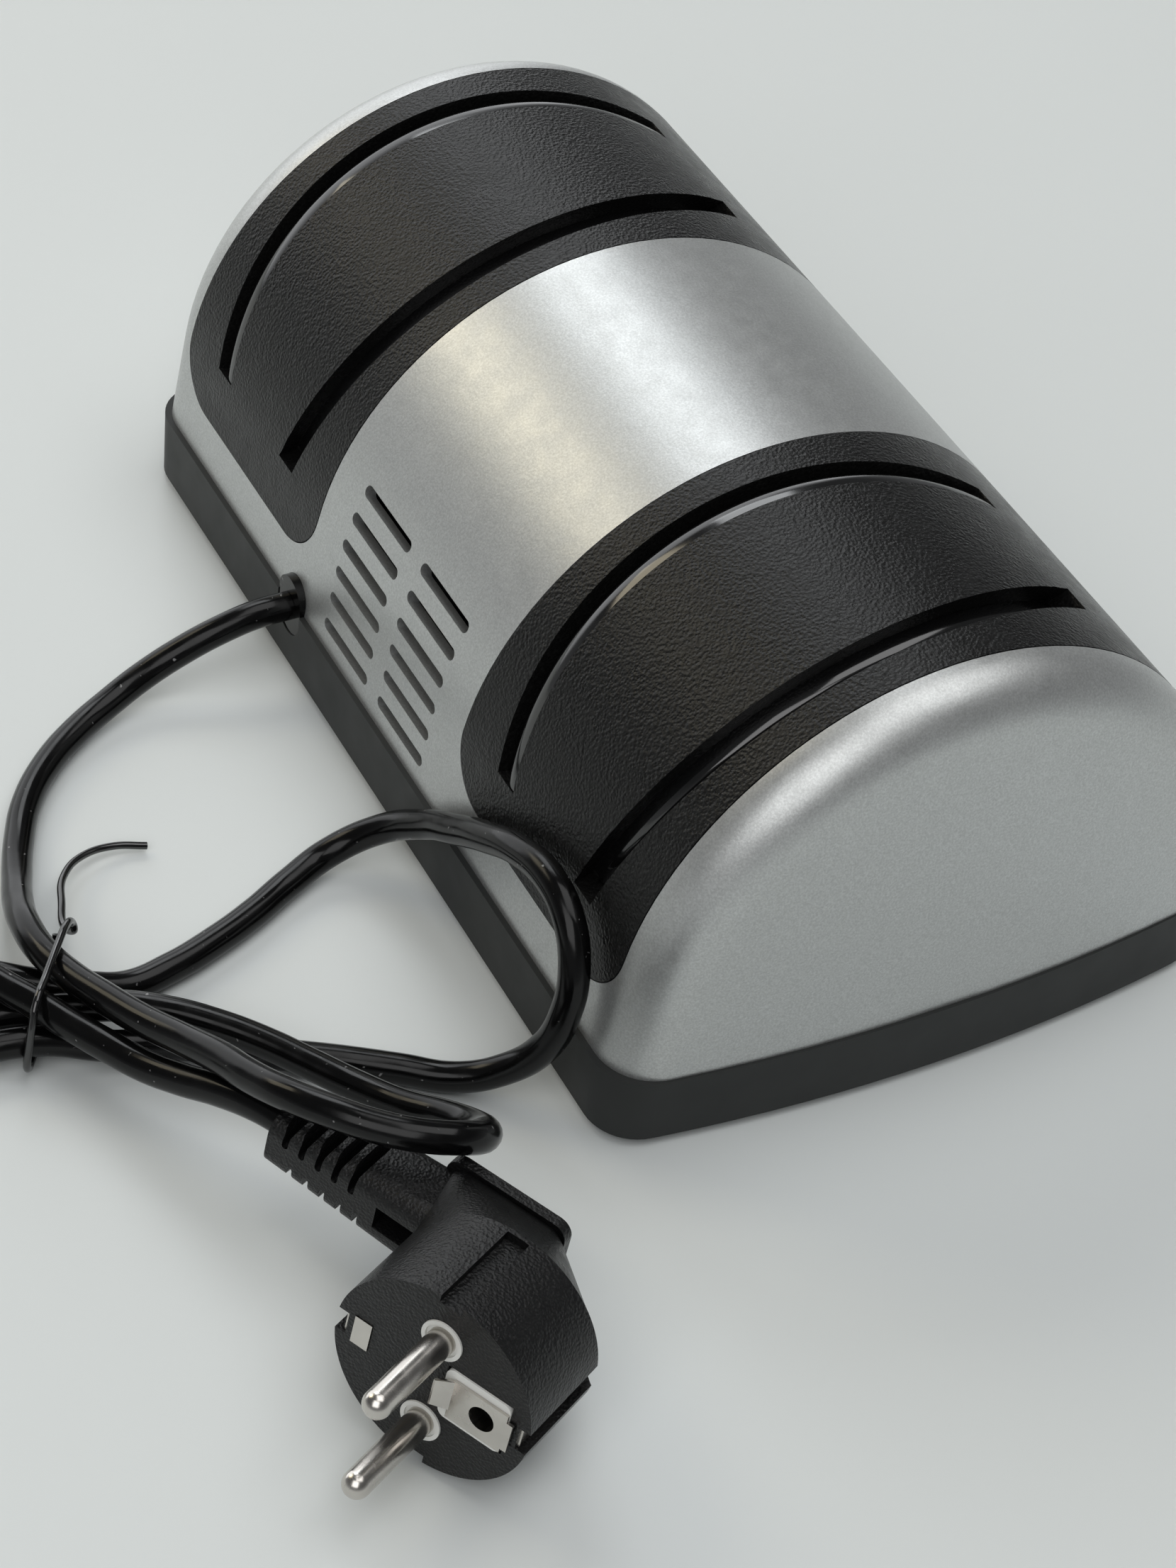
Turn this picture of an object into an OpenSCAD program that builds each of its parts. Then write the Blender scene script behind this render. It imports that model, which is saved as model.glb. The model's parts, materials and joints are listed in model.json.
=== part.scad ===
// Electric two-stage knife sharpener: an arched silver housing on a dark base tray, with a black
// slotted guide cover over each pair of grinding wheels, a motor between them and a mains lead.
// X runs along the body, +Y is the cord side, Z = 0 is the table.

/* [Casing] */
// Overall length of the base
body_l = 211; // [206:1:230]
// Overall width of the base
body_w = 125; // [125:1:140]
// Height of the dark base band
band_h = 14; // [13:0.5:16]
// How far the rubber feet stand out below the base
foot_out = 2; // [1.5:0.5:4]
// Wall thickness of the base tray and of the silver housing
wall = 2.5; // [2:0.25:3]
// Radius of the arch
arch_r = 59.5; // [59:0.5:61]
// Height of the arch's centre above the table
arch_z = 26; // [25:0.5:30]
// How far the silver housing stands back from the base band
seam_step = 1.1; // [0.8:0.1:1.5]
// Corner radius of the base seen from above
corner_r = 9.5; // [7:0.5:12]
// Radius of the bowed ends seen from above
bow_r = 375; // [300:5:600]
// Radius of the rounded edge between the arch and the domed end faces
cap_round = 10.5; // [8:0.5:11]

/* [Vents and cord exit] */
// Length of a vent slot
vent_l = 18.6; // [12:0.2:20]
// Width of a vent slot
vent_w = 2.5; // [1.5:0.1:3.5]
// Rows of vent slots
vent_rows = 6; // [3:1:6]
// Distance between the rows along the housing wall
vent_pitch = 6.15; // [5:0.05:6.5]
// Distance between the two columns
vent_columns = 23.4; // [22:0.1:26]
// Distance of the cord exit from the middle
gland_x = 33.2; // [32:0.2:40]
// Width of the cord gland
gland_w = 9.6; // [9:0.2:11]
// Height of the cord gland
gland_h = 12.8; // [12:0.2:14]

/* [Guide covers] */
// Distance of a guide cover's middle from the body's middle
stage_x = 61; // [60.5:0.5:63]
// Width of a guide cover
cover_w = 60; // [58:0.5:61]
// Height of a cover's lower edge above the table
cover_z = 26.3; // [26:0.1:30]
// Radius of a cover's lower corners
cover_corner = 11; // [6:0.5:14]
// Gap round a cover
cover_gap = 0.25; // [0.1:0.05:0.5]
// Distance of a slot's outer edge from the cover's middle, at its widest
slot_u = 23.9; // [22:0.1:25]
// How much nearer to the middle the slot's ends are
slot_drop = 6.6; // [4:0.2:8]
// Angle of the slot's middle round the arch, from the cord side
slot_mid = 68; // [60:1:90]
// Angle from the slot's middle to either end
slot_half = 56; // [45:1:58]
// Width of the cut between the cover's flange and its middle block
slot_w = 4.7; // [4.2:0.1:5.5]
// Width of the smooth blade rail beside the block
rail_w = 2.7; // [2:0.1:3]
// How deep the slot walls and rails reach below the surface
slot_deep = 9; // [6:0.5:10]
// Lean of the slot walls towards the middle, in degrees
slot_lean = 18; // [10:1:22]

/* [Wheels and shaft] */
// Height of the shaft above the table
shaft_z = 47; // [46:0.5:48]
// Shaft diameter
shaft_d = 6; // [5:0.5:7]
// Diameter of a grinding wheel
wheel_d = 55; // [44:1:56]
// Thickness of a grinding wheel
wheel_t = 8; // [6:0.5:9]
// Distance between the two wheels of a stage
wheel_gap = 16; // [14:0.5:18]
// How far a wheel can slide along the shaft
wheel_float = 1.5; // [0.5:0.25:2]
// Running clearance of wheels and bushings on the shaft
run_fit = 0.05; // [0.03:0.01:0.1]
// Thickness of a shaft collar
collar_t = 2; // [1.5:0.25:2.5]

/* [Motor] */
// Length of the lamination stack
stack_l = 24; // [18:1:26]
// Width of the laminations
core_w = 58; // [54:1:60]
// Diameter of the rotor
rotor_d = 33.2; // [28:0.2:34]
// Air gap between the rotor and the laminations
air_gap = 0.4; // [0.3:0.05:0.6]
// Diameter of the cooling fan
fan_d = 38; // [30:1:44]
// Blades of the cooling fan
fan_blades = 9; // [5:1:11]

/* [Switch] */
// Width of the rocker switch's bezel
switch_w = 21.4; // [18:0.2:24]
// Height of the rocker switch's bezel
switch_h = 14.6; // [12:0.2:15]
// How far the rocker tips from one side to the other, in degrees
rocker_throw = 20; // [12:1:24]

/* [Cord and plug] */
// Diameter of the mains cord
cord_d = 5.6; // [5:0.1:6]
// Diameter of a plug pin
pin_d = 4.8; // [4:0.1:5]
// Length of a plug pin
pin_l = 19; // [17:0.5:20]
// Distance between the plug pins
pin_pitch = 19; // [19:0.5:20]
// Diameter of the plug's face
plug_d = 36.6; // [36:0.2:38]
// Depth of the plug's body behind its face
plug_deep = 34; // [33:0.5:36]
// Length of the plug's ribbed strain relief
boot_l = 27; // [25:0.5:30]

/* [Hidden] */

silver = [0.72, 0.73, 0.73];
grained_black = [0.07, 0.07, 0.07];
band_grey = [0.16, 0.16, 0.17];
steel = [0.75, 0.76, 0.78];
copper = [0.72, 0.42, 0.22];
nickel = [0.8, 0.78, 0.72];

seam_z = foot_out + band_h;
side_y = body_w / 2 - seam_step;
floor_t = wall;
floor_z = foot_out + floor_t;
// The straight side wall touches the arch at this angle above the horizontal
side_dist = norm([side_y, seam_z - arch_z]);
tangent_a = acos(arch_r / side_dist) + atan2(seam_z - arch_z, side_y);
side_tilt = tangent_a;

screw_x = 86;
screw_y = side_y - wall - 6.4;
post_r = 4.2;
foot_x = 80;
foot_y = 36;
foot_r = 7;
foot_seat = 1.5;

/* ---------- profiles and lofts ---------- */

function unit(v) = v / norm(v);

// A length of the arched wall between radii r0 and r1 of the arch, centred on x = 0
module arch_shell(l, r0, r1) {
    difference() {
        translate([0, 0, arch_z]) rotate([0, 90, 0]) {
            rotate([0, 0, tangent_a + 90]) rotate_extrude(angle = 180 - 2 * tangent_a, $fn = 180)
                translate([r0, -l / 2]) square([r1 - r0, l]);
            for (s = [0, 1]) mirror([0, s, 0]) rotate([0, 0, tangent_a + 90]) rotate([90, 0, 0])
                linear_extrude(arch_r / 2) translate([r0, -l / 2]) square([r1 - r0, l]);
        }
        translate([-l, -body_w, -body_w]) cube([2 * l, 2 * body_w, body_w + seam_z]);
    }
}

// A closed skin over rings of points, capped flat at both ends, or drawn to a point at the far end
module loft(rings, tip = undef) {
    n = len(rings[0]);
    m = len(rings);
    points = concat([for (r = rings) each r], is_undef(tip) ? [] : [tip]);
    first = [for (i = [n - 1:-1:0]) i];
    last = is_undef(tip) ? [[for (i = [0:n - 1]) (m - 1) * n + i]]
        : [for (i = [0:n - 1]) [(m - 1) * n + i, (m - 1) * n + (i + 1) % n, m * n]];
    skin = [for (j = [0:m - 2], i = [0:n - 1])
        each [[j * n + i, j * n + (i + 1) % n, (j + 1) * n + (i + 1) % n],
            [j * n + i, (j + 1) * n + (i + 1) % n, (j + 1) * n + i]]];
    // seen from outside, the rings run clockwise along the loft
    polyhedron(points, [for (f = concat([first], last, skin)) [for (k = [len(f) - 1:-1:0]) f[k]]],
        convexity = 8);
}

// Outline of the base seen from above
module plan_2d(l, w, r) {
    offset(r = r, $fn = 48) offset(delta = -r) intersection() {
        square([l, w], center = true);
        translate([l / 2 - bow_r, 0]) circle(bow_r, $fn = 360);
        translate([bow_r - l / 2, 0]) circle(bow_r, $fn = 360);
    }
}

// Lengthwise profile of the housing, set back by o: half length out along Y, distance from the
// arch's axis along X, with the rounded edge and the domed end face
module long_profile(o, from) {
    l = body_l / 2 - seam_step * 0.6 - o;
    r = arch_r - o;
    f = cap_round - o;
    d = bow_r - o;
    // middle of the rounded edge, and the angle at which it meets the dome
    fx = l - d + sqrt((d - f) * (d - f) - (r - f) * (r - f));
    meet = asin((r - f) / (d - f));
    edge = [for (i = [0:10]) let (a = (90 - meet) * i / 10) [r - f + f * cos(a), fx + f * sin(a)]];
    dome = [for (i = [5:-1:1]) let (a = meet * i / 6) [d * sin(a), l - d + d * cos(a)]];
    side = concat(edge, dome, [[from, l - d + d * cos(meet / 6)]]);
    polygon(concat(side, [for (i = [len(side) - 1:-1:0]) [side[i][0], -side[i][1]]]));
}

// The housing as a solid, set back by o: an arch turned about its axis, and straight walls below
module housing_solid(o = 0) {
    difference() {
        translate([0, 0, arch_z]) rotate([0, 90, 0]) {
            rotate([0, 0, tangent_a + 90]) rotate_extrude(angle = 180 - 2 * tangent_a, $fn = 180)
                long_profile(o, 0);
            for (s = [0, 1]) mirror([0, s, 0]) rotate([0, 0, tangent_a + 90]) rotate([90, 0, 0])
                linear_extrude(arch_r / 2) long_profile(o, -6);
        }
        translate([-body_l, -body_w, -body_w]) cube([2 * body_l, 2 * body_w, body_w + seam_z]);
    }
}

// Places a child on the flat front wall, with its Y pointing into the housing
module on_front(h) {
    translate([0, -side_y + h * sin(side_tilt), seam_z + h * cos(side_tilt)])
        rotate([-side_tilt, 0, 0]) children();
}

module each_corner(x, y) {
    for (sx = [-1, 1], sy = [-1, 1]) translate([sx * x, sy * y, 0]) children();
}

/* ---------- casing ---------- */

module gland_2d(grow = 0) {
    r = gland_w / 2 + grow;
    for (s = [-1, 1]) translate([0, s * (gland_h - gland_w) / 2]) circle(r, $fn = 48);
    square([2 * r, gland_h - gland_w], center = true);
}

gland_z = seam_z - 0.6;
clamp_y = 45;
clamp_half = 7;

module gland_cut() {
    translate([gland_x, side_y - 4, gland_z]) rotate([-90, 0, 0]) linear_extrude(12) gland_2d();
}

motor_post_x = stack_l / 2 + 10;
motor_post_y = core_w / 2 + 6;
bracket_h = 8;
coil_leg = 8;
core_bottom = shaft_z - rotor_d / 2 - air_gap - 19.5;

module base_tray() {
    color(band_grey) difference() {
        union() {
            difference() {
                translate([0, 0, foot_out]) linear_extrude(band_h) plan_2d(body_l, body_w, corner_r);
                translate([0, 0, floor_z]) linear_extrude(band_h)
                    plan_2d(body_l - 2 * wall, body_w - 2 * wall, corner_r - wall);
            }
            // posts for the housing screws
            each_corner(screw_x, screw_y) translate([0, 0, foot_out])
                cylinder(h = band_h, r = post_r, $fn = 40);
            // tall posts that carry the motor
            each_corner(motor_post_x, motor_post_y) translate([0, 0, foot_out]) {
                cylinder(h = shaft_z - bracket_h / 2 - foot_out, r = 4.5, $fn = 40);
                translate([-1, -7.4, 0]) cube([2, 14.8, 20]);
            }
            // rest and posts for the cord clamp
            translate([gland_x - 4, clamp_y - 2.5, foot_out])
                cube([8, 5, gland_z - cord_d / 2 - foot_out]);
            for (s = [-1, 1]) translate([gland_x + s * clamp_half, clamp_y, foot_out])
                cylinder(h = gland_z + cord_d / 2 - foot_out, r = 2.8, $fn = 32);
            // pockets that hold the magnets under the wheels
            for (s = [-1, 1]) translate([s * stage_x, 0, floor_z])
                linear_extrude(4) difference() {
                    square([25, 35], center = true);
                    square([22.2, 32.2], center = true);
                }
        }
        each_corner(screw_x, screw_y) {
            translate([0, 0, foot_out - 1]) cylinder(h = 7, r = 3.6, $fn = 40);
            translate([0, 0, foot_out]) cylinder(h = band_h + 1, r = 1.8, $fn = 32);
        }
        each_corner(foot_x, foot_y) translate([0, 0, foot_out - 1])
            cylinder(h = 1 + foot_seat, r = foot_r + 0.1, $fn = 48);
        each_corner(motor_post_x, motor_post_y)
            translate([0, 0, shaft_z - bracket_h / 2 - 12]) cylinder(h = 13, r = 1.4, $fn = 24);
        for (s = [-1, 1]) translate([gland_x + s * clamp_half, clamp_y, gland_z - 8])
            cylinder(h = 20, r = 1.1, $fn = 24);
        gland_cut();
    }
}

module vent_slot() {
    rotate([-90, 0, 0]) linear_extrude(10, center = true) {
        square([vent_l - vent_w, vent_w], center = true);
        for (s = [-1, 1]) translate([s * (vent_l - vent_w) / 2, 0]) circle(vent_w / 2, $fn = 24);
    }
}

flat_l = norm([side_y, seam_z] - [arch_r * cos(tangent_a), arch_z + arch_r * sin(tangent_a)]);

// Puts a child on the cord side's wall, h along the wall from the seam, with Y pointing out
module on_back(h) {
    if (h <= flat_l)
        translate([0, side_y - h * sin(side_tilt), seam_z + h * cos(side_tilt)])
            rotate([side_tilt, 0, 0]) children();
    else {
        a = tangent_a + (h - flat_l) / arch_r * 180 / PI;
        translate([0, arch_r * cos(a), arch_z + arch_r * sin(a)]) rotate([a, 0, 0]) children();
    }
}

// Opening of a guide cover seen from behind, grown by g
module cover_window(g = 0, deep = 3 * arch_r) {
    r = cover_corner + g;
    rotate([90, 0, 0]) linear_extrude(deep, center = true) {
        translate([-cover_w / 2 - g, cover_z - g + r]) square([cover_w + 2 * g, 2 * arch_r]);
        translate([-cover_w / 2 - g + r, cover_z - g]) square([cover_w + 2 * g - 2 * r, r + 1]);
        for (s = [-1, 1]) translate([s * (cover_w / 2 + g - r), cover_z - g + r])
            circle(r, $fn = 64);
    }
}

module upper_housing() {
    boss_top = cover_z - 3.8;
    color(silver) difference() {
        housing_solid();
        difference() {
            housing_solid(wall);
            // screw bosses stay on the side walls
            each_corner(screw_x, screw_y)
                translate([0, 0, seam_z]) cylinder(h = boss_top - seam_z, r = post_r, $fn = 40);
            for (sx = [-1, 1], sy = [-1, 1])
                translate([sx * screw_x - 1.2, sy * (screw_y + 6) - 4, seam_z])
                    cube([2.4, 8, boss_top - seam_z]);
        }
        for (s = [-1, 1]) translate([s * stage_x, 0, 0]) cover_window(cover_gap);
        for (s = [-1, 1], k = [0:vent_rows - 1]) translate([s * vent_columns / 2, 0, 0])
            on_back(5.1 + k * vent_pitch) vent_slot();
        each_corner(screw_x, screw_y)
            translate([0, 0, seam_z - 1]) cylinder(h = 6.5, r = 1.5, $fn = 32);
        on_front(flat_l / 2) cube([switch_w - 2, 12, switch_h - 2], center = true);
        gland_cut();
    }
}

/* ---------- guide covers ---------- */

// How far a slot's outer edge is from the cover's middle, at angle a round the arch
function slot_edge(a) = slot_u - slot_drop * pow((a - slot_mid) / slot_half, 2);

// The slots narrow to a point in the last few degrees
function slot_width(a) = slot_w * (1 - 0.75 * pow(min(1, abs(a - slot_mid) / slot_half), 10));

// A strip that follows a slot, wider than it by margin on both sides, between radii r0 and r1,
// leaning towards the cover's middle as it goes down
module slot_strip(margin, r0, r1, half = slot_half, steps = 28) {
    lean = tan(slot_lean);
    loft([for (k = [0:steps])
        let (a = slot_mid - half + 2 * half * k / steps, e = slot_edge(a), w = slot_width(a) + margin)
        [for (c = [[-margin, r1], [w, r1], [w, r0], [-margin, r0]])
            let (u = e - c[0] - (arch_r - c[1]) * lean)
            [u, c[1] * cos(a), arch_z + c[1] * sin(a)]]]);
}

// A skirt inside the cover all round a slot, which the knife's sides slide along
module slot_skirt() {
    slot_strip(1.6, arch_r - slot_deep, arch_r - 1, slot_half + 1.7, 25);
}

module guide_cover() {
    inside = arch_r - wall;
    color(grained_black) difference() {
        union() {
            intersection() {
                arch_shell(cover_w + 10, inside - 1.6, arch_r);
                cover_window();
            }
            // the seat under the housing's edge
            intersection() {
                arch_shell(cover_w + 10, inside - 1.6, inside - 0.2);
                cover_window(2.2);
            }
            for (s = [0, 1]) mirror([s, 0, 0]) slot_skirt();
        }
        for (s = [0, 1]) mirror([s, 0, 0])
            slot_strip(0, arch_r - slot_deep - 1, arch_r + 2);
    }
}

module coarse_guide_cover() { translate([-stage_x, 0, 0]) guide_cover(); }
module fine_guide_cover() { translate([stage_x, 0, 0]) guide_cover(); }

// The smooth rounded rails that the blade rests on, beside the middle block
module blade_rails() {
    top = arch_r - 0.2;
    color([0.03, 0.03, 0.03]) for (s = [0, 1]) mirror([s, 0, 0]) {
        inner = slot_w - 0.2;
        lean = tan(slot_lean);
        half = slot_half - 2;
        steps = 28;
        loft([for (k = [0:steps])
            let (a = slot_mid - half + 2 * half * k / steps, e = slot_edge(a),
                w = slot_width(a) / slot_w, hi = inner * w, lo = (inner - rail_w) * w)
            [for (c = [[lo, top - 1.3], [lo + 0.5, top - 0.35], [(lo + hi) / 2, top],
                    [hi, top - 0.5], [hi, arch_r - slot_deep], [lo, arch_r - slot_deep]])
                let (u = e - c[0] - (arch_r - c[1]) * lean)
                [u, c[1] * cos(a), arch_z + c[1] * sin(a)]]]);
    }
}

module coarse_blade_rails() { translate([-stage_x, 0, 0]) blade_rails(); }
module fine_blade_rails() { translate([stage_x, 0, 0]) blade_rails(); }

module rubber_feet() {
    color([0.05, 0.05, 0.05]) each_corner(foot_x, foot_y) {
        cylinder(h = foot_out + foot_seat, r = foot_r, $fn = 48);
    }
}

module screw(r, head_r, head_h, l) {
    translate([0, 0, -head_h]) cylinder(h = head_h, r = head_r, $fn = 32);
    translate([0, 0, -0.01]) cylinder(h = l, r = r, $fn = 24);
}

module housing_screws() {
    color(steel) each_corner(screw_x, screw_y) translate([0, 0, foot_out + 6])
        screw(1.5, 2.9, 2.2, band_h - 6 + 5);
}

/* ---------- rocker switch ---------- */

rocker_w = switch_w - 6;
rocker_h = switch_h - 5;
pivot_deep = 2;
pivot_r = 1.2;
pivot_pin = 0.9;

module switch_frame() {
    color(grained_black) on_front(flat_l / 2) difference() {
        union() {
            translate([-switch_w / 2, -1.4, -switch_h / 2]) cube([switch_w, 1.4, switch_h]);
            translate([-switch_w / 2 + 1.1, -0.1, -switch_h / 2 + 1.1])
                cube([switch_w - 2.2, 13, switch_h - 2.2]);
        }
        translate([-rocker_w / 2 - 0.35, -2, -rocker_h / 2 - 0.35])
            cube([rocker_w + 0.7, 12, rocker_h + 0.7]);
        translate([0, pivot_deep, 0])
            cylinder(h = rocker_h + 2 * pivot_pin + 0.6, r = pivot_r + run_fit, center = true, $fn = 32);
    }
}

module switch_terminals() {
    color(steel) on_front(flat_l / 2) for (x = [-6, 0, 6])
        translate([x - 0.4, 12.9, -2.4]) cube([0.8, 7, 4.8]);
}

// The rocker, tipped to its off side; it turns about an upright axis behind the bezel
module rocker_button() {
    half = rocker_w / 2;
    tip = rocker_throw / 2;
    color([0.1, 0.1, 0.1]) on_front(flat_l / 2) translate([0, pivot_deep, 0]) rotate([0, 0, tip]) {
        linear_extrude(rocker_h, center = true)
            polygon([[-half + 0.4, -2.7], [-half + 1.6, -3.9], [0, -2.7], [half - 1.6, -3.9],
                [half - 0.4, -2.7], [half - 1.2, 1.2], [2.5, 4], [-2.5, 4], [-half + 1.2, 1.2]]);
        cylinder(h = rocker_h + 2 * pivot_pin, r = pivot_r, center = true, $fn = 32);
    }
}

/* ---------- cord entry ---------- */

module cord_gland() {
    color([0.04, 0.04, 0.04]) translate([gland_x, 0, gland_z]) rotate([-90, 0, 0]) {
        translate([0, 0, side_y - 4]) linear_extrude(4.9) gland_2d(-0.05);
        translate([0, 0, side_y - 6.5]) linear_extrude(2.4) gland_2d(1.4);
    }
}

module cord_clamp() {
    top = gland_z + cord_d / 2;
    color([0.85, 0.84, 0.8]) difference() {
        translate([gland_x - clamp_half - 3.5, clamp_y - 2.8, top])
            cube([2 * clamp_half + 7, 5.6, 2.6]);
        for (s = [-1, 1]) translate([gland_x + s * clamp_half, clamp_y, top - 1])
            cylinder(h = 5, r = 1.3, $fn = 24);
    }
}

module clamp_screws() {
    color(steel) for (s = [-1, 1])
        translate([gland_x + s * clamp_half, clamp_y, gland_z + cord_d / 2 + 2.6])
            mirror([0, 0, 1]) screw(1.1, 2.3, 1.6, 8);
}

// Tangent of a route at point i
function heading(p, i) = unit(p[min(i + 1, len(p) - 1)] - p[max(i - 1, 0)]);

// Ring normals carried along a route without twist
function carried(p, first) = [for (i = 0, n = unit(first - (first * heading(p, 0)) * heading(p, 0));
    i < len(p); i = i + 1,
    n = i < len(p) ? unit(n - (n * heading(p, i)) * heading(p, i)) : n) n];

// A round tube of diameter d along the points of p
module tube(p, d, sides = 10, first = [0, 0, 1]) {
    normals = carried(p, first);
    loft([for (i = [0:len(p) - 1]) let (t = heading(p, i), n = normals[i], b = cross(t, n))
        [for (k = [0:sides - 1]) let (a = 360 * k / sides)
            p[i] + (n * cos(a) + b * sin(a)) * d / 2]]);
}

// The end of the mains cord inside, and the wires that part from it
module inner_cord() {
    back = side_y - 6.5;
    color([0.05, 0.05, 0.05]) translate([gland_x, clamp_y - 7, gland_z]) rotate([-90, 0, 0])
        cylinder(h = back - clamp_y + 7, r = cord_d / 2, $fn = 32);
    start = clamp_y - 4;
    coil_z = core_bottom + coil_leg + 2.5;
    live = [[gland_x + 1.5, start, gland_z], [gland_x + 1.5, start - 5, gland_z - 0.5],
        [38, 27, 9], [39.5, 10, 8], [39.5, -16, 8], [36, -34, 8.5], [30, -45, 10],
        [22, -47, 13], [14, -44, 19], [10, -42, 22.3], [6.5, -42, 22.5]];
    neutral = [[gland_x - 1.5, start, gland_z], [gland_x - 1.5, start - 5, gland_z - 0.5],
        [27, 26, 9], [terminal_x + 5, 23, 11], [terminal_x + 0.5, 23.5, 17],
        [terminal_x, 22.2, coil_z], [terminal_x, 19.6, coil_z]];
    switched = [[-6.5, -42, 22.5], [-10, -42, 22], [-12, -40, 16], [-12, -35, 10],
        [1 - terminal_x, -28, 9.5], [-terminal_x, -25, 13], [-terminal_x, -24.6, 18.5],
        [-terminal_x, -22.4, coil_z], [-terminal_x, -19.6, coil_z]];
    color([0.5, 0.3, 0.15]) tube(live, 2, 8);
    color([0.1, 0.25, 0.6]) tube(neutral, 2, 8);
    color([0.5, 0.3, 0.15]) tube(switched, 2, 8);
}

/* ---------- motor ---------- */

module shaft_bar(x0, x1, r, f = 48) {
    translate([x0, 0, shaft_z]) rotate([0, 90, 0]) cylinder(h = x1 - x0, r = r, $fn = f);
}

bore_r = rotor_d / 2 + air_gap;
core_top = shaft_z + bore_r + 5.5;
core_screw_y = core_w / 2 - 5;

module stator_core() {
    window_z = core_bottom + coil_leg;
    window_top = shaft_z - bore_r - 3.5;
    color([0.35, 0.36, 0.38]) difference() {
        translate([-stack_l / 2, -core_w / 2, core_bottom])
            cube([stack_l, core_w, core_top - core_bottom]);
        shaft_bar(-stack_l, stack_l, bore_r, 90);
        translate([-stack_l, -18.5, window_z]) cube([2 * stack_l, 37, window_top - window_z]);
        // clipped upper corners
        for (s = [-1, 1]) translate([0, s * core_w / 2, core_top]) rotate([45, 0, 0])
            cube([2 * stack_l, 9, 9], center = true);
        for (s = [-1, 1]) translate([0, s * core_screw_y, shaft_z]) rotate([0, 90, 0])
            cylinder(h = 2 * stack_l, r = 2, center = true, $fn = 24);
    }
}

// A ring round the core's lower leg, t thick, from y0 to y1
module coil_ring(y0, y1, t, gap) {
    z = core_bottom + coil_leg / 2;
    translate([0, y0, z]) rotate([-90, 0, 0]) linear_extrude(y1 - y0) difference() {
        square([stack_l + 2 * (gap + t), coil_leg + 2 * (gap + t)], center = true);
        square([stack_l + 2 * gap, coil_leg + 2 * gap], center = true);
    }
}

terminal_x = stack_l / 2 + 3;

module coil_bobbin() {
    color([0.9, 0.88, 0.8]) {
        coil_ring(-17, 17, 0.9, 0.1);
        for (y = [-18.3, 16.9]) coil_ring(y, y + 1.4, 5.6, 0.1);
        for (s = [-1, 1]) translate([s * terminal_x - 2, s * 18.7 - 0.8, core_bottom + coil_leg + 1])
            cube([4, 1.6, 3]);
    }
}

module coil_winding() {
    color(copper) coil_ring(-16.8, 16.8, 4.2, 1.05);
}

module motor_bracket() {
    face = stack_l / 2;
    bar = motor_post_x - 3;
    color([0.6, 0.61, 0.62]) difference() {
        union() {
            translate([bar, -motor_post_y - 4.5, shaft_z - bracket_h / 2])
                cube([6, 2 * motor_post_y + 9, bracket_h]);
            for (s = [-1, 1]) translate([face, s * core_screw_y, shaft_z]) rotate([0, 90, 0])
                cylinder(h = bar - face + 1, r = 4.5, $fn = 40);
            shaft_bar(bar - 1.5, bar + 8, 9);
        }
        shaft_bar(bar - 3, bar + 10, 6);
        for (s = [-1, 1]) translate([0, s * core_screw_y, shaft_z]) rotate([0, 90, 0])
            cylinder(h = 3 * stack_l, r = 2, $fn = 24);
        for (s = [-1, 1]) translate([motor_post_x, s * motor_post_y, shaft_z - bracket_h])
            cylinder(h = 2 * bracket_h, r = 1.8, $fn = 24);
    }
}

module left_motor_bracket() { mirror([1, 0, 0]) motor_bracket(); }
module right_motor_bracket() { motor_bracket(); }

module bushing() {
    bar = motor_post_x - 3;
    color([0.75, 0.6, 0.35]) difference() {
        shaft_bar(bar - 1, bar + 7.5, 6);
        shaft_bar(bar - 3, bar + 10, shaft_d / 2 + run_fit);
    }
}

module left_bushing() { mirror([1, 0, 0]) bushing(); }
module right_bushing() { bushing(); }

// Two long screws with nuts, through both brackets and the core
module core_screws() {
    bar = motor_post_x + 3;
    color(steel) for (s = [-1, 1]) translate([0, s * core_screw_y, shaft_z]) rotate([0, 90, 0]) {
        cylinder(h = 2 * bar, r = 1.9, center = true, $fn = 24);
        translate([0, 0, bar]) cylinder(h = 2.6, r = 3.6, $fn = 32);
        translate([0, 0, -bar - 2.6]) cylinder(h = 2.6, r = 3.7, $fn = 6);
    }
}

module motor_screws() {
    color(steel) each_corner(motor_post_x, motor_post_y)
        translate([0, 0, shaft_z + bracket_h / 2]) mirror([0, 0, 1]) screw(1.4, 2.9, 2, 16);
}

module filings_magnets() {
    color([0.2, 0.2, 0.21]) for (s = [-1, 1])
        translate([s * stage_x - 11, -16, floor_z]) cube([22, 32, 4.5]);
}

/* ---------- rotor ---------- */

shaft_half = stage_x + wheel_gap / 2 + wheel_t + collar_t + 2.5;

module drive_shaft() {
    color(steel) {
        shaft_bar(-shaft_half + 0.5, shaft_half - 0.5, shaft_d / 2);
        for (s = [0, 1]) mirror([s, 0, 0]) translate([shaft_half - 0.51, 0, shaft_z])
            rotate([0, 90, 0]) cylinder(h = 0.51, r1 = shaft_d / 2, r2 = shaft_d / 2 - 0.5, $fn = 48);
    }
}

module rotor_core() {
    color([0.45, 0.46, 0.48]) difference() {
        union() {
            shaft_bar(-stack_l / 2, stack_l / 2, rotor_d / 2, 90);
            shaft_bar(-stack_l / 2 - 3, stack_l / 2 + 3, rotor_d / 2 - 1.5, 72);
        }
        shaft_bar(-stack_l, stack_l, shaft_d / 2);
        shaft_bar(stack_l / 2 + 1, stack_l, rotor_d / 2 - 5);
        shaft_bar(-stack_l, -stack_l / 2 - 1, rotor_d / 2 - 5);
    }
}

fan_x = motor_post_x + 7;

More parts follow.
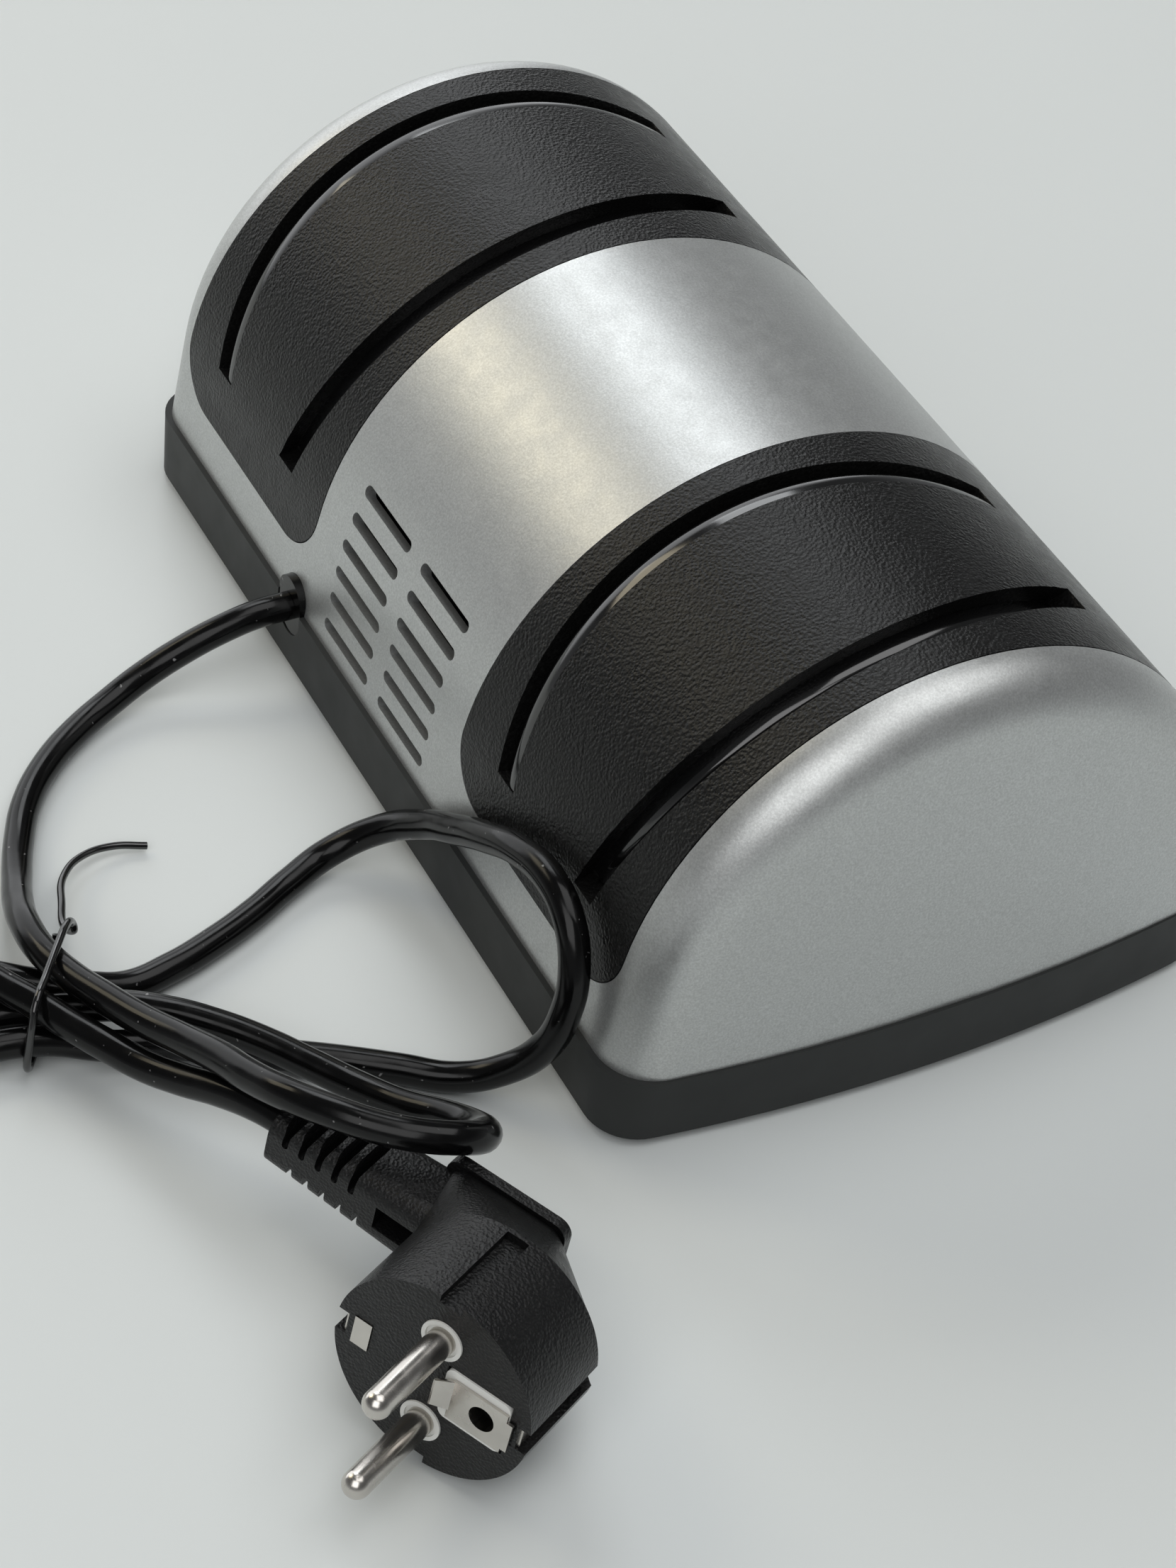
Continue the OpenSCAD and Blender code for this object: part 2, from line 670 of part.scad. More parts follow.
module cooling_fan() {
    color([0.9, 0.9, 0.86]) difference() {
        union() {
            shaft_bar(fan_x, fan_x + 8, 6);
            shaft_bar(fan_x, fan_x + 1.4, fan_d / 2 - 2);
            for (k = [0:fan_blades - 1]) translate([fan_x + 0.7, 0, shaft_z])
                rotate([k * 360 / fan_blades, 0, 0]) rotate([0, 0, 12])
                    translate([0, 0, 5]) translate([0, -0.6, 0]) cube([6.6, 1.2, fan_d / 2 - 6]);
        }
        shaft_bar(fan_x - 1, fan_x + 9, shaft_d / 2);
        translate([0, 0, 0]) difference() {
            shaft_bar(fan_x - 2, fan_x + 12, fan_d);
            shaft_bar(fan_x - 3, fan_x + 13, fan_d / 2, 72);
        }
    }
}

// Four collars that keep the wheels on their seats
module shaft_ring(x, t, r) {
    difference() {
        shaft_bar(x - t / 2, x + t / 2, r);
        shaft_bar(x - t, x + t, shaft_d / 2);
    }
}

// A collar outside each wheel, and a snap ring where the wheel stops when a blade pushes it in
module shaft_collars() {
    ring_t = 0.8;
    collar_x = wheel_gap / 2 + wheel_t + 0.05 + collar_t / 2;
    ring_x = wheel_gap / 2 - wheel_float - 0.05 - ring_t / 2;
    color(steel) for (s = [-1, 1], t = [-1, 1]) {
        shaft_ring(s * stage_x + t * collar_x, collar_t, shaft_d / 2 + 3);
        shaft_ring(s * stage_x + t * ring_x, ring_t, shaft_d / 2 + 0.8);
    }
}

// One grinding wheel on the +X side of its stage: a hub, a disc and a conical grinding rim
module grinding_wheel(tone) {
    x0 = wheel_gap / 2;
    rim = wheel_d / 2;
    color(tone) difference() {
        translate([0, 0, shaft_z]) rotate([0, 90, 0]) rotate_extrude($fn = 96) polygon([
            [shaft_d / 2 + run_fit, x0], [shaft_d / 2 + 4, x0], [shaft_d / 2 + 4, x0 + 1.5],
            [rim - 7, x0 + 1.5], [rim - 5.5, x0 + 0.4], [rim, x0 + 0.4], [rim, x0 + 2],
            [rim - 3.4, x0 + wheel_t - 0.6], [rim - 6.5, x0 + wheel_t - 0.6],
            [rim - 8, x0 + wheel_t - 2.4], [shaft_d / 2 + 4, x0 + wheel_t - 2.4],
            [shaft_d / 2 + 4, x0 + wheel_t], [shaft_d / 2 + run_fit, x0 + wheel_t]]);
        for (k = [0:5]) translate([x0 + wheel_t / 2, 0, shaft_z]) rotate([k * 60, 0, 0])
            translate([0, 0, (rim + 1) / 2]) rotate([0, 90, 0])
                cylinder(h = 2 * wheel_t, r = 1.8, center = true, $fn = 24);
    }
}

coarse_tone = [0.42, 0.36, 0.33];
fine_tone = [0.85, 0.84, 0.8];

module coarse_outer_wheel() { translate([-stage_x, 0, 0]) mirror([1, 0, 0]) grinding_wheel(coarse_tone); }
module coarse_inner_wheel() { translate([-stage_x, 0, 0]) grinding_wheel(coarse_tone); }
module fine_inner_wheel() { translate([stage_x, 0, 0]) mirror([1, 0, 0]) grinding_wheel(fine_tone); }
module fine_outer_wheel() { translate([stage_x, 0, 0]) grinding_wheel(fine_tone); }

// The spring that holds a pair of wheels apart
module wheel_spring() {
    wire = 1.1;
    turns = 6;
    per_turn = 12;
    r = shaft_d / 2 + 1.6;
    half = wheel_gap / 2 - wire / 2 - 0.1;
    color(steel) tube([for (i = [0:turns * per_turn]) let (a = 360 * i / per_turn)
        [-half + 2 * half * i / (turns * per_turn), r * cos(a), shaft_z + r * sin(a)]],
        wire, 6, [0, 1, 0]);
}

module coarse_spring() { translate([-stage_x, 0, 0]) wheel_spring(); }
module fine_spring() { translate([stage_x, 0, 0]) wheel_spring(); }

/* ---------- cord ---------- */

// From the gland through the tie, over the plug's strain relief, back under, and out to the first fold
lead_route = [
    [33.2, 62.3, 15.4], [33.2, 69, 15.2], [33.5, 76, 13.4], [34, 84, 10], [33.5, 92, 6.6],
    [31, 100, 4.4], [27, 108, 3.4], [21, 116, 3], [13, 123, 3], [4, 128, 3.2], [-5.5, 132, 4.6],
    [-14, 135, 7.2], [-22.5, 136.8, 10.2], [-31, 136.9, 12], [-39, 135.1, 13.2], [-48, 132, 15],
    [-56.8, 128.8, 17.1], [-65, 125.6, 19.8], [-74, 122.8, 23.4], [-83, 120.8, 26.8], [-91, 118, 29.8],
    [-97.5, 113.8, 31], [-103.2, 108.6, 31.2], [-107.6, 102.6, 31], [-109.4, 95.9, 29.4],
    [-106.6, 90.6, 24.6], [-100.2, 88.6, 19], [-93, 90.5, 14.8], [-86, 94.5, 11.8], [-78, 99, 10],
    [-70.5, 103.8, 9.6], [-63, 109, 9.6], [-56, 115, 9.6], [-49.8, 121.6, 9.4], [-44.6, 128, 8.3],
    [-40.3, 134.4, 6.2], [-37.8, 140.7, 5.3], [-36, 147.4, 5.2], [-34.6, 155, 4], [-32.5, 163, 3],
    [-29.5, 172.5, 3], [-25.5, 182, 3], [-19.5, 190.5, 3], [-11.5, 196, 3], [-2.5, 196.5, 3],
    [5, 191.5, 3], [7.5, 182.5, 3], [3.5, 174, 3], [-3.5, 166.5, 3], [-7.5, 162.7, 3],
    [-11.5, 158.9, 3]];

// Past the tie round the loop that leans on the housing, out to the second fold and to the plug
loop_route = [
    [-11.5, 158.9, 3], [-15.5, 155.1, 3], [-21.5, 149.4, 3.6], [-27.2, 144, 4.8],
    [-31.9, 138.4, 5.4], [-34.8, 131.5, 4.8], [-36.2, 123.5, 3], [-35, 114.5, 3], [-32.2, 105.5, 3],
    [-28.5, 96.5, 3], [-24, 87.5, 3.2], [-21, 78, 5], [-24, 69.8, 10.5], [-32, 65.5, 17.5],
    [-42, 64.3, 25], [-52, 63.6, 32], [-62, 62.8, 37.5], [-71, 62.3, 39.6], [-79, 62.6, 37.8],
    [-84.5, 63.6, 31.5], [-86.5, 65.4, 23], [-85.5, 68, 14.5], [-82, 73, 7.4], [-77.5, 80, 3.6],
    [-71.5, 88, 3], [-66, 96.5, 3], [-61, 105, 3], [-55.5, 114, 3], [-51, 123, 3], [-48.2, 132, 3.5],
    [-44.6, 141.5, 5.2], [-42.6, 149.5, 5.2], [-41, 158, 4], [-38.8, 167, 3], [-35.6, 177, 3],
    [-31.3, 187, 3], [-25, 196, 3], [-16, 202.5, 3], [-5, 204.5, 3], [5.5, 200.5, 3],
    [13, 192.5, 3], [15.5, 182, 3.4], [13, 172, 5.2], [6.5, 163.5, 7.6], [-2, 157.5, 9.8],
    [-11.5, 154, 11.4], [-20.5, 151.5, 12], [-29, 149.3, 12], [-36, 145.9, 12], [-42, 142.2, 12],
    [-48.8, 138.5, 11.9], [-55, 134.9, 11.9], [-62, 131.2, 12.6], [-69, 127.2, 14.6],
    [-76, 123.2, 17.4]];
// How the plug lies: its face turned about Z and tipped up, its body rolled about the face's axis
plug_turn = 118.3;
plug_tip = -5.9;
plug_roll = -3.1;
plug_at = [-144, 117.8];
// Length of the round part behind the face, and how far behind the face the cord's axis is
face_l = 18.5;
exit_deep = plug_deep - 6.9;
neck_out = 21.4;
// The plug rests on the back edge of its round part
plug_z = plug_d / 2 * cos(plug_tip) - face_l * sin(plug_tip);
face_dir = [cos(plug_turn) * cos(plug_tip), sin(plug_turn) * cos(plug_tip), -sin(plug_tip)];
boot_dir = [sin(plug_turn) * cos(plug_roll) - cos(plug_turn) * sin(plug_tip) * sin(plug_roll),
    -cos(plug_turn) * cos(plug_roll) - sin(plug_turn) * sin(plug_tip) * sin(plug_roll),
    -cos(plug_tip) * sin(plug_roll)];
boot_end = [plug_at[0], plug_at[1], plug_z] - exit_deep * face_dir + (neck_out + boot_l) * boot_dir;

module cord_lead() { color([0.03, 0.03, 0.03]) tube(lead_route, cord_d); }

module cord_loops() {
    color([0.03, 0.03, 0.03]) tube(concat(loop_route, [boot_end + 6 * boot_dir, boot_end]), cord_d);
}

// A plastic-covered wire round the bundle, with a twist and one free end
module cord_tie() {
    along = unit([0.57, 0.82, 0]);
    across = [-along[1], along[0], 0];
    mid = [-36, 140, 0];
    ring = [[-12.6, 9.5], [-10.8, 6.4], [-9.2, 3.2], [-6, 1.15], [1, 1.15], [9, 1.15], [12.6, 2.6],
        [14, 5.8], [13.2, 9], [11.8, 13], [9.2, 16.2], [4, 16.4], [-3, 16.6], [-9, 16],
        [-12.3, 13.6], [-13, 10.8]];
    hoop = [for (i = [0:len(ring) - 1])
        mid + across * ring[i][0] + [0, 0, ring[i][1]] + along * (-0.4 - 3 * i / (len(ring) - 1))];
    color([0.05, 0.05, 0.05]) tube(concat(hoop, [[-24, 130.2, 8.6], [-17, 128, 7], [-9, 124.5, 5],
        [-4, 119, 3.4], [-2.6, 112.5, 2.2], [-4, 106.5, 1.4]]), 2, 8, [0.57, 0.82, 0]);
}

/* ---------- plug ---------- */

module at_plug() {
    translate([plug_at[0], plug_at[1], plug_z]) rotate([plug_roll, plug_tip, plug_turn]) children();
}

// Places a child on the plug's face, with its Z pointing out of it
module on_face(x, y, z) { translate([x, y, z]) rotate([0, 90, 0]) children(); }

// A rounded plate across the plug, t thick, between y0 and y1 and up to h above and below the middle
module plug_plate(x, t, y0, y1, h, r) {
    hull() for (y = [y0 + r, y1 - r], s = [-1, 1])
        on_face(x, y, s * (h - r)) cylinder(h = t, r = r, $fn = 32);
}

// Cuts that let the strain relief bend: a round-ended slot that flares at its mouth
module relief_cut(y, s, foot, top) {
    translate([-exit_deep, -y, 0]) rotate([90, 0, 90]) linear_extrude(20, center = true) {
        translate([0, s * foot]) circle(0.6, $fn = 24);
        polygon([[-0.6, s * foot], [-0.6, s * (top - 1.8)], [-1.5, s * (top + 0.6)],
            [1.5, s * (top + 0.6)], [0.6, s * (top - 1.8)], [0.6, s * foot]]);
    }
}

relief_root = 6.8;
relief_tip = 5.4;
socket_y = 10;
clip_y = -13.4;

module plug_body() {
    color(grained_black) at_plug() difference() {
        union() {
            on_face(-face_l, 0, 0) cylinder(h = face_l, r = plug_d / 2, $fn = 96);
            // the grip slopes from the round part to a flat waist
            hull() {
                on_face(-face_l, 0, 0) cylinder(h = 0.5, r = plug_d / 2 - 0.1, $fn = 64);
                plug_plate(-plug_deep + 1.5, 0.6, -neck_out + 1, 0.9, 7.6, 2.5);
            }
            // lip that the fingers pull on
            plug_plate(-plug_deep, 2, -neck_out, 1.7, 9, 2.6);
            // rounded bar of the strain relief
            hull() for (e = [[14, 6.9, relief_root], [neck_out + boot_l - 1, 6.2, relief_tip]],
                    sx = [-1, 1], sz = [-1, 1])
                translate([-exit_deep + sx * (e[1] - 3.4), -e[0], sz * (e[2] - 3.4)])
                    rotate([90, 0, 0]) cylinder(h = 1, r = 3.4, $fn = 32);
        }
        for (k = [0:4]) {
            relief_cut(neck_out + boot_l * (0.37 + k / 8), 1, 2, relief_root - 0.3 * k);
            relief_cut(neck_out + boot_l * (0.31 + k / 8), -1, 2.4, relief_root - 0.3 * k);
        }
        for (s = [-1, 1]) {
            // earthing groove at the side, and guide channel in line with the pins
            translate([-face_l - 6, s > 0 ? 16.2 : -26.2, -2.3]) cube([face_l + 7, 10, 4.6]);
            translate([-17.6, -2.05, s > 0 ? 16.7 : -26.7]) cube([20, 4.1, 10]);
            on_face(-2, 0, s * pin_pitch / 2) cylinder(h = 3, r = 3.75, $fn = 40);
        }
        translate([-2, 2.2, -5.45]) cube([3, 12.1, 10.9]);
        on_face(-15, socket_y, 0) cylinder(h = 16, r = 2.3, $fn = 32);
        translate([-1.6, clip_y - 1.7, -3]) cube([3, 3.4, 6]);
    }
}

// White carrier: two collars round the pins and the bed of the earth contact
module plug_insert() {
    color([0.92, 0.92, 0.9]) at_plug() {
        for (s = [-1, 1]) on_face(-2, 0, s * pin_pitch / 2) difference() {
            cylinder(h = 2.3, r = 3.7, $fn = 40);
            translate([0, 0, -1]) cylinder(h = 5, r = pin_d / 2, $fn = 40);
            translate([0, 0, 1.9]) cylinder(h = 1, r = 3, $fn = 40);
        }
        difference() {
            union() {
                translate([-2, 2.25, -3.9]) cube([2.3, 12, 7.8]);
                translate([-2, 3.75, -5.4]) cube([2.3, 9, 10.8]);
                for (y = [3.75, 12.75], s = [-1, 1])
                    on_face(-2, y, s * 3.9) cylinder(h = 2.3, r = 1.5, $fn = 32);
            }
            on_face(-3, socket_y, 0) cylinder(h = 5, r = 2.9, $fn = 32);
        }
    }
}

module plug_pins() {
    color(nickel) at_plug() for (s = [-1, 1]) on_face(-2, 0, s * pin_pitch / 2) {
        cylinder(h = pin_l + 2 - pin_d / 2, r = pin_d / 2, $fn = 40);
        translate([0, 0, pin_l + 2 - pin_d / 2]) sphere(pin_d / 2, $fn = 40);
    }
}

// Sheet-metal earth contact: a plate with a round socket and a bent tongue, a clip that shows in
// the face, and a strip in each earthing groove
module earth_contact() {
    color(nickel) at_plug() {
        difference() {
            union() {
                translate([0.35, 4, -4.3]) cube([0.5, 10.2, 8.3]);
                translate([0.35, 13.7, -3.4]) cube([0.5, 1.6, 6]);
                on_face(-2, socket_y, 0) cylinder(h = 2.4, r = 2.8, $fn = 32);
                hull() {
                    translate([0.35, 3.9, -2.6]) cube([0.5, 0.4, 6.4]);
                    translate([2, 1.4, -2]) cube([0.4, 0.3, 5.6]);
                }
            }
            on_face(-3, socket_y, 0) cylinder(h = 5, r = 2.3, $fn = 32);
        }
        translate([-1.6, clip_y - 1.6, -2.9]) cube([1.8, 3.2, 5.8]);
        for (s = [-1, 1]) translate([-12, s * 16.45 - 0.25, -2.2]) cube([11.5, 0.5, 4.4]);
    }
}

base_tray();
upper_housing();
coarse_guide_cover();
fine_guide_cover();
coarse_blade_rails();
fine_blade_rails();
rubber_feet();
housing_screws();
switch_frame();
switch_terminals();
rocker_button();
cord_gland();
cord_clamp();
clamp_screws();
inner_cord();
stator_core();
coil_bobbin();
coil_winding();
left_motor_bracket();
right_motor_bracket();
left_bushing();
right_bushing();
core_screws();
motor_screws();
filings_magnets();
drive_shaft();
rotor_core();
cooling_fan();
shaft_collars();
coarse_outer_wheel();
coarse_inner_wheel();
fine_inner_wheel();
fine_outer_wheel();
coarse_spring();
fine_spring();
cord_lead();
cord_loops();
cord_tie();
plug_body();
plug_insert();
plug_pins();
earth_contact();
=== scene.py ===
"""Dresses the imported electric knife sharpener: finishes, mains cord, studio and camera"""

import json
import math

import bmesh
import bpy
from bpy.props import FloatProperty, FloatVectorProperty, IntProperty, PointerProperty
from bpy.types import Operator, Panel, PropertyGroup
from mathutils import Matrix, Vector


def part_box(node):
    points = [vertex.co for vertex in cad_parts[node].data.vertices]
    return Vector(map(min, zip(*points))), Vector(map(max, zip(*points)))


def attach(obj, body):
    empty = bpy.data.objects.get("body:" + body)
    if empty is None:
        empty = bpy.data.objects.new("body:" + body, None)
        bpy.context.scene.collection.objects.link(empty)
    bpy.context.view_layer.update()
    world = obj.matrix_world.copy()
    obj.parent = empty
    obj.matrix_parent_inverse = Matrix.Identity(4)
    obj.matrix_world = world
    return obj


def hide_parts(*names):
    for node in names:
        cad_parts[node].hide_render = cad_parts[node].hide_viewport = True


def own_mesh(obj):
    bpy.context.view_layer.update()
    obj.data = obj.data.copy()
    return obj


bl_info = {
    "name": "Electric Knife Sharpener",
    "version": (1, 0, 0),
    "blender": (4, 5, 0),
    "location": "3D View > Sidebar > Sharpener",
    "description": "Finishes, mains cord, studio and camera for an electric knife sharpener",
    "category": "Object",
}

MM = 0.001
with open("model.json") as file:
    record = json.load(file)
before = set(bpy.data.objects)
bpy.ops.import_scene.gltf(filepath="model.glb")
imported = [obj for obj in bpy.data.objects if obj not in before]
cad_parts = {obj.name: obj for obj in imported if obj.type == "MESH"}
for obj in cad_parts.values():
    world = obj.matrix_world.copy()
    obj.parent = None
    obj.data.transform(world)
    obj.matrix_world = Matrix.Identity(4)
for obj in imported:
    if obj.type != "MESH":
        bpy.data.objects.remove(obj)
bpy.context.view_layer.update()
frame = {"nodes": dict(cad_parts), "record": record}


# ---------------------------------------------------------------- sizes and colours


def tint(label, colour, use):
    """A colour that a user may change"""
    return FloatVectorProperty(
        name=label, description=use, subtype="COLOR", size=3, min=0.0, max=1.0, default=colour
    )


class SharpenerFinishes(PropertyGroup):
    """Colours and gloss of the sharpener's surfaces"""

    silver: tint("Silver paint", (0.47, 0.48, 0.475), "Metallic paint of the arched housing")
    silver_rough: FloatProperty(
        name="Silver roughness", description="Roughness of the metallic paint",
        subtype="FACTOR", min=0.05, max=1.0, default=0.4,
    )
    cover: tint("Guide covers", (0.0045, 0.0045, 0.0044), "Grained plastic of the slotted covers")
    rail: tint("Blade rails", (0.004, 0.004, 0.0042), "Polished plastic beside the slots")
    base: tint("Base", (0.025, 0.0265, 0.026), "Plastic of the base band")
    cord: tint("Cord", (0.0025, 0.0025, 0.0026), "PVC of the mains cord")
    plug: tint("Plug", (0.006, 0.006, 0.0062), "Moulded PVC of the plug")
    nickel: tint("Nickel", (0.62, 0.59, 0.55), "Plating of the plug's pins and earth contact")
    grain: FloatProperty(
        name="Grain size", description="Size of the leather grain on the covers",
        subtype="DISTANCE", unit="LENGTH", min=0.0002, max=0.003, default=0.00056,
    )


class SharpenerCord(PropertyGroup):
    """Sizes of the mains cord and its tie"""

    diameter: FloatProperty(
        name="Cord diameter", description="Outside diameter of the mains cord",
        subtype="DISTANCE", unit="LENGTH", min=0.004, max=0.008, default=0.0056,
    )
    tie: FloatProperty(
        name="Tie diameter", description="Thickness of the wire tie round the bundle",
        subtype="DISTANCE", unit="LENGTH", min=0.001, max=0.003, default=0.0014,
    )
    smooth: IntProperty(
        name="Steps", description="Curve steps between two points of the cord's route",
        min=2, max=24, default=8,
    )


class SharpenerSlots(PropertyGroup):
    """Opening and lips of the blade slots"""

    opening: FloatProperty(
        name="Slot opening", description="Width of a slot's opening, which its lip partly fills",
        subtype="DISTANCE", unit="LENGTH", min=0.0048, max=0.007, default=0.0059,
    )
    lip_drop: FloatProperty(
        name="Lip drop", description="How far the lower lip of each cover lies under the arch",
        subtype="DISTANCE", unit="LENGTH", min=0.0, max=0.005, default=0.0043,
    )


class SharpenerStudio(PropertyGroup):
    """Camera, floor and lamps"""

    position: FloatVectorProperty(
        name="Camera", description="Place of the camera", subtype="TRANSLATION", unit="LENGTH",
        size=3, default=(-0.42167, 0.2850, 0.45343),
    )
    azimuth: FloatProperty(
        name="Azimuth", description="Direction from which the camera looks, from the front",
        subtype="ANGLE", unit="ROTATION", default=math.radians(236.99),
    )
    elevation: FloatProperty(
        name="Elevation", description="Height angle of the camera over the table",
        subtype="ANGLE", unit="ROTATION", default=math.radians(43.29),
    )
    roll: FloatProperty(
        name="Roll", description="Turn of the camera about its own axis",
        subtype="ANGLE", unit="ROTATION", default=math.radians(7.95),
    )
    lens: FloatProperty(
        name="Lens", description="Focal length for a 36 mm sensor", unit="CAMERA",
        min=20.0, max=200.0, default=80.31,
    )
    floor: tint("Floor", (0.735, 0.768, 0.762), "Paper that the sharpener stands on")
    strength: FloatProperty(
        name="Lamp strength", description="Factor on every lamp", min=0.1, max=4.0, default=1.0
    )


# ---------------------------------------------------------------- finishes


# A Wave texture repeats every 2 pi / (20 * scale), so this over the pitch is the scale to set
WAVE_SCALE = math.tau / 20
# Where a Mix node set to colour has its factor, its two colours and its result
MIX_COLOUR_INPUTS = (0, 6, 7)
MIX_COLOUR_OUTPUT = 2
NOISE_RANGE = (0.3, 0.7)  # nearly all values of a noise lie between these


class Finish:
    """A node material built round one Principled shader"""

    def __init__(self, name, colour, rough, metal=0.0, specular=0.5):
        self.material = bpy.data.materials.new(name)
        self.material.use_nodes = True
        self.tree = self.material.node_tree
        self.shader = self.tree.nodes["Principled BSDF"]
        self.colour = tuple(colour)[:3]
        self.material.diffuse_color = (*self.colour, 1.0)
        self.put(self.shader, "Base Color", (*self.colour, 1.0))
        self.put(self.shader, "Roughness", rough)
        self.put(self.shader, "Metallic", metal)
        self.put(self.shader, "Specular IOR Level", specular)
        self.rough = rough
        self.place = self.node("ShaderNodeTexCoord").outputs["Object"]
        self.relief = None

    def node(self, kind, **settings):
        """A new node of this material"""
        made = self.tree.nodes.new(kind)
        for key, value in settings.items():
            setattr(made, key, value)
        return made

    def put(self, node, socket, value):
        """Sets an input that nothing is linked to"""
        node.inputs[socket].default_value = value

    def link(self, output, socket):
        """Links an output to an input"""
        self.tree.links.new(output, socket)

    def noise(self, size, detail=2.0, rough=0.5, stretch=None):
        """Noise whose features are about size metres wide"""
        made = self.node("ShaderNodeTexNoise")
        self.put(made, "Scale", 1.0 / size)
        self.put(made, "Detail", detail)
        self.put(made, "Roughness", rough)
        self.link(self.scaled(stretch), made.inputs["Vector"])
        return made.outputs["Fac"]

    def scaled(self, stretch):
        """The object's own coordinates, scaled along each axis where stretch is given"""
        if stretch is None:
            return self.place
        made = self.node("ShaderNodeMapping")
        self.put(made, "Scale", stretch)
        self.link(self.place, made.inputs["Vector"])
        return made.outputs["Vector"]

    def cells(self, size, feature="SMOOTH_F1"):
        """Cells about size metres wide"""
        made = self.node("ShaderNodeTexVoronoi", feature=feature)
        self.put(made, "Scale", 1.0 / size)
        self.link(self.place, made.inputs["Vector"])
        return made.outputs["Distance"]

    def bands(self, pitch, axis, distort=0.0):
        """Bands across an axis, one every pitch metres"""
        made = self.node("ShaderNodeTexWave", bands_direction=axis)
        self.put(made, "Scale", WAVE_SCALE / pitch)
        self.put(made, "Distortion", distort)
        self.link(self.place, made.inputs["Vector"])
        return made.outputs["Fac"]

    def curve(self, value, low, high, to_low=0.0, to_high=1.0):
        """The value's range low..high moved to to_low..to_high and clamped"""
        made = self.node("ShaderNodeMapRange")
        self.put(made, "From Min", low)
        self.put(made, "From Max", high)
        self.put(made, "To Min", to_low)
        self.put(made, "To Max", to_high)
        self.link(value, made.inputs["Value"])
        return made.outputs["Result"]

    def vary_rough(self, value, amount):
        """Roughness moves by amount either way with value"""
        self.link(
            self.curve(value, *NOISE_RANGE, self.rough - amount, self.rough + amount),
            self.shader.inputs["Roughness"],
        )

    def vary_colour(self, value, other):
        """Base colour goes towards other where value is high"""
        made = self.node("ShaderNodeMix", data_type="RGBA")
        factor, first, second = (made.inputs[i] for i in MIX_COLOUR_INPUTS)
        first.default_value = (*self.colour, 1.0)
        second.default_value = (*tuple(other)[:3], 1.0)
        self.link(value, factor)
        self.link(made.outputs[MIX_COLOUR_OUTPUT], self.shader.inputs["Base Color"])

    def bump(self, height, depth, strength=1.0):
        """Relief depth metres deep, over what came before"""
        made = self.node("ShaderNodeBump")
        self.put(made, "Strength", strength)
        self.put(made, "Distance", depth)
        self.link(height, made.inputs["Height"])
        if self.relief:
            self.link(self.relief, made.inputs["Normal"])
        self.relief = made.outputs["Normal"]
        self.link(self.relief, self.shader.inputs["Normal"])


def lighter(colour, factor):
    """The colour times a factor, no brighter than white"""
    return tuple(min(1.0, c * factor) for c in tuple(colour)[:3])


def silver_paint(finishes):
    """Metallic paint: bright flakes, a fine orange peel and slightly uneven gloss"""
    flake, peel, relief = 0.0004, 0.0016, 0.00003
    paint = Finish("silver_paint", finishes.silver, finishes.silver_rough, metal=0.8, specular=0.4)
    flakes = paint.noise(flake, detail=2.0, rough=0.7)
    paint.vary_colour(paint.curve(flakes, 0.35, 0.7), lighter(finishes.silver, 1.3))
    paint.vary_rough(paint.noise(0.004, detail=3.0), 0.03)
    paint.bump(flakes, relief, 0.6)
    paint.bump(paint.noise(peel, detail=1.0), relief, 0.5)
    return paint


def leather_grain(finish, size, depth):
    """Pebbled leather grain: rounded cells broken up by noise"""
    pebbles = finish.cells(size)
    finish.bump(pebbles, depth, 0.8)
    finish.bump(finish.noise(size * 0.45, detail=3.0, rough=0.6), depth * 0.6, 0.6)
    finish.vary_rough(finish.noise(size * 8, detail=2.0), 0.05)


def grained_cover(finishes):
    """Black plastic with leather grain whose high spots are a little paler"""
    cover = Finish("grained_black", finishes.cover, 0.28, specular=0.28)
    leather_grain(cover, finishes.grain, 0.00017)
    high_spots = cover.curve(cover.noise(0.0006, detail=2.0), 0.45, 0.8)
    cover.vary_colour(high_spots, lighter(finishes.cover, 2.2))
    return cover


def polished_rail(finishes):
    """Glossy black plastic with the faint waves of a moulded surface"""
    rail = Finish("rail_black", finishes.rail, 0.12, specular=0.9)
    rail.vary_rough(rail.noise(0.006, detail=3.0), 0.04)
    rail.bump(rail.noise(0.003), 0.00001, 0.5)
    return rail


def moulded(name, colour, rough, fine=0.0007, depth=0.000015, specular=0.45):
    """Plain injection-moulded plastic with a fine spark texture"""
    made = Finish(name, colour, rough, specular=specular)
    made.bump(made.noise(fine, detail=3.0, rough=0.6), depth, 0.6)
    made.vary_rough(made.noise(0.008, detail=3.0), 0.04)
    made.vary_colour(made.curve(made.noise(0.02), 0.3, 0.8), lighter(colour, 1.12))
    return made


def cord_pvc(finishes):
    """Smooth satin PVC, with the wires' lay showing through and a few specks of dust"""
    dust = (0.2, 0.2, 0.2)
    unevenness, lay, speck = 0.0022, 0.014, 0.0011
    pvc = Finish("cord_pvc", finishes.cord, 0.18, specular=0.27)
    pvc.bump(pvc.noise(unevenness, detail=2.0), 0.00003, 0.5)
    pvc.bump(pvc.noise(lay, detail=1.0), 0.00025, 0.4)
    specks = pvc.curve(pvc.noise(speck, detail=1.0), 0.74, 0.8)
    pvc.vary_colour(specks, dust)
    pvc.vary_rough(pvc.noise(0.004, detail=3.0), 0.06)
    return pvc


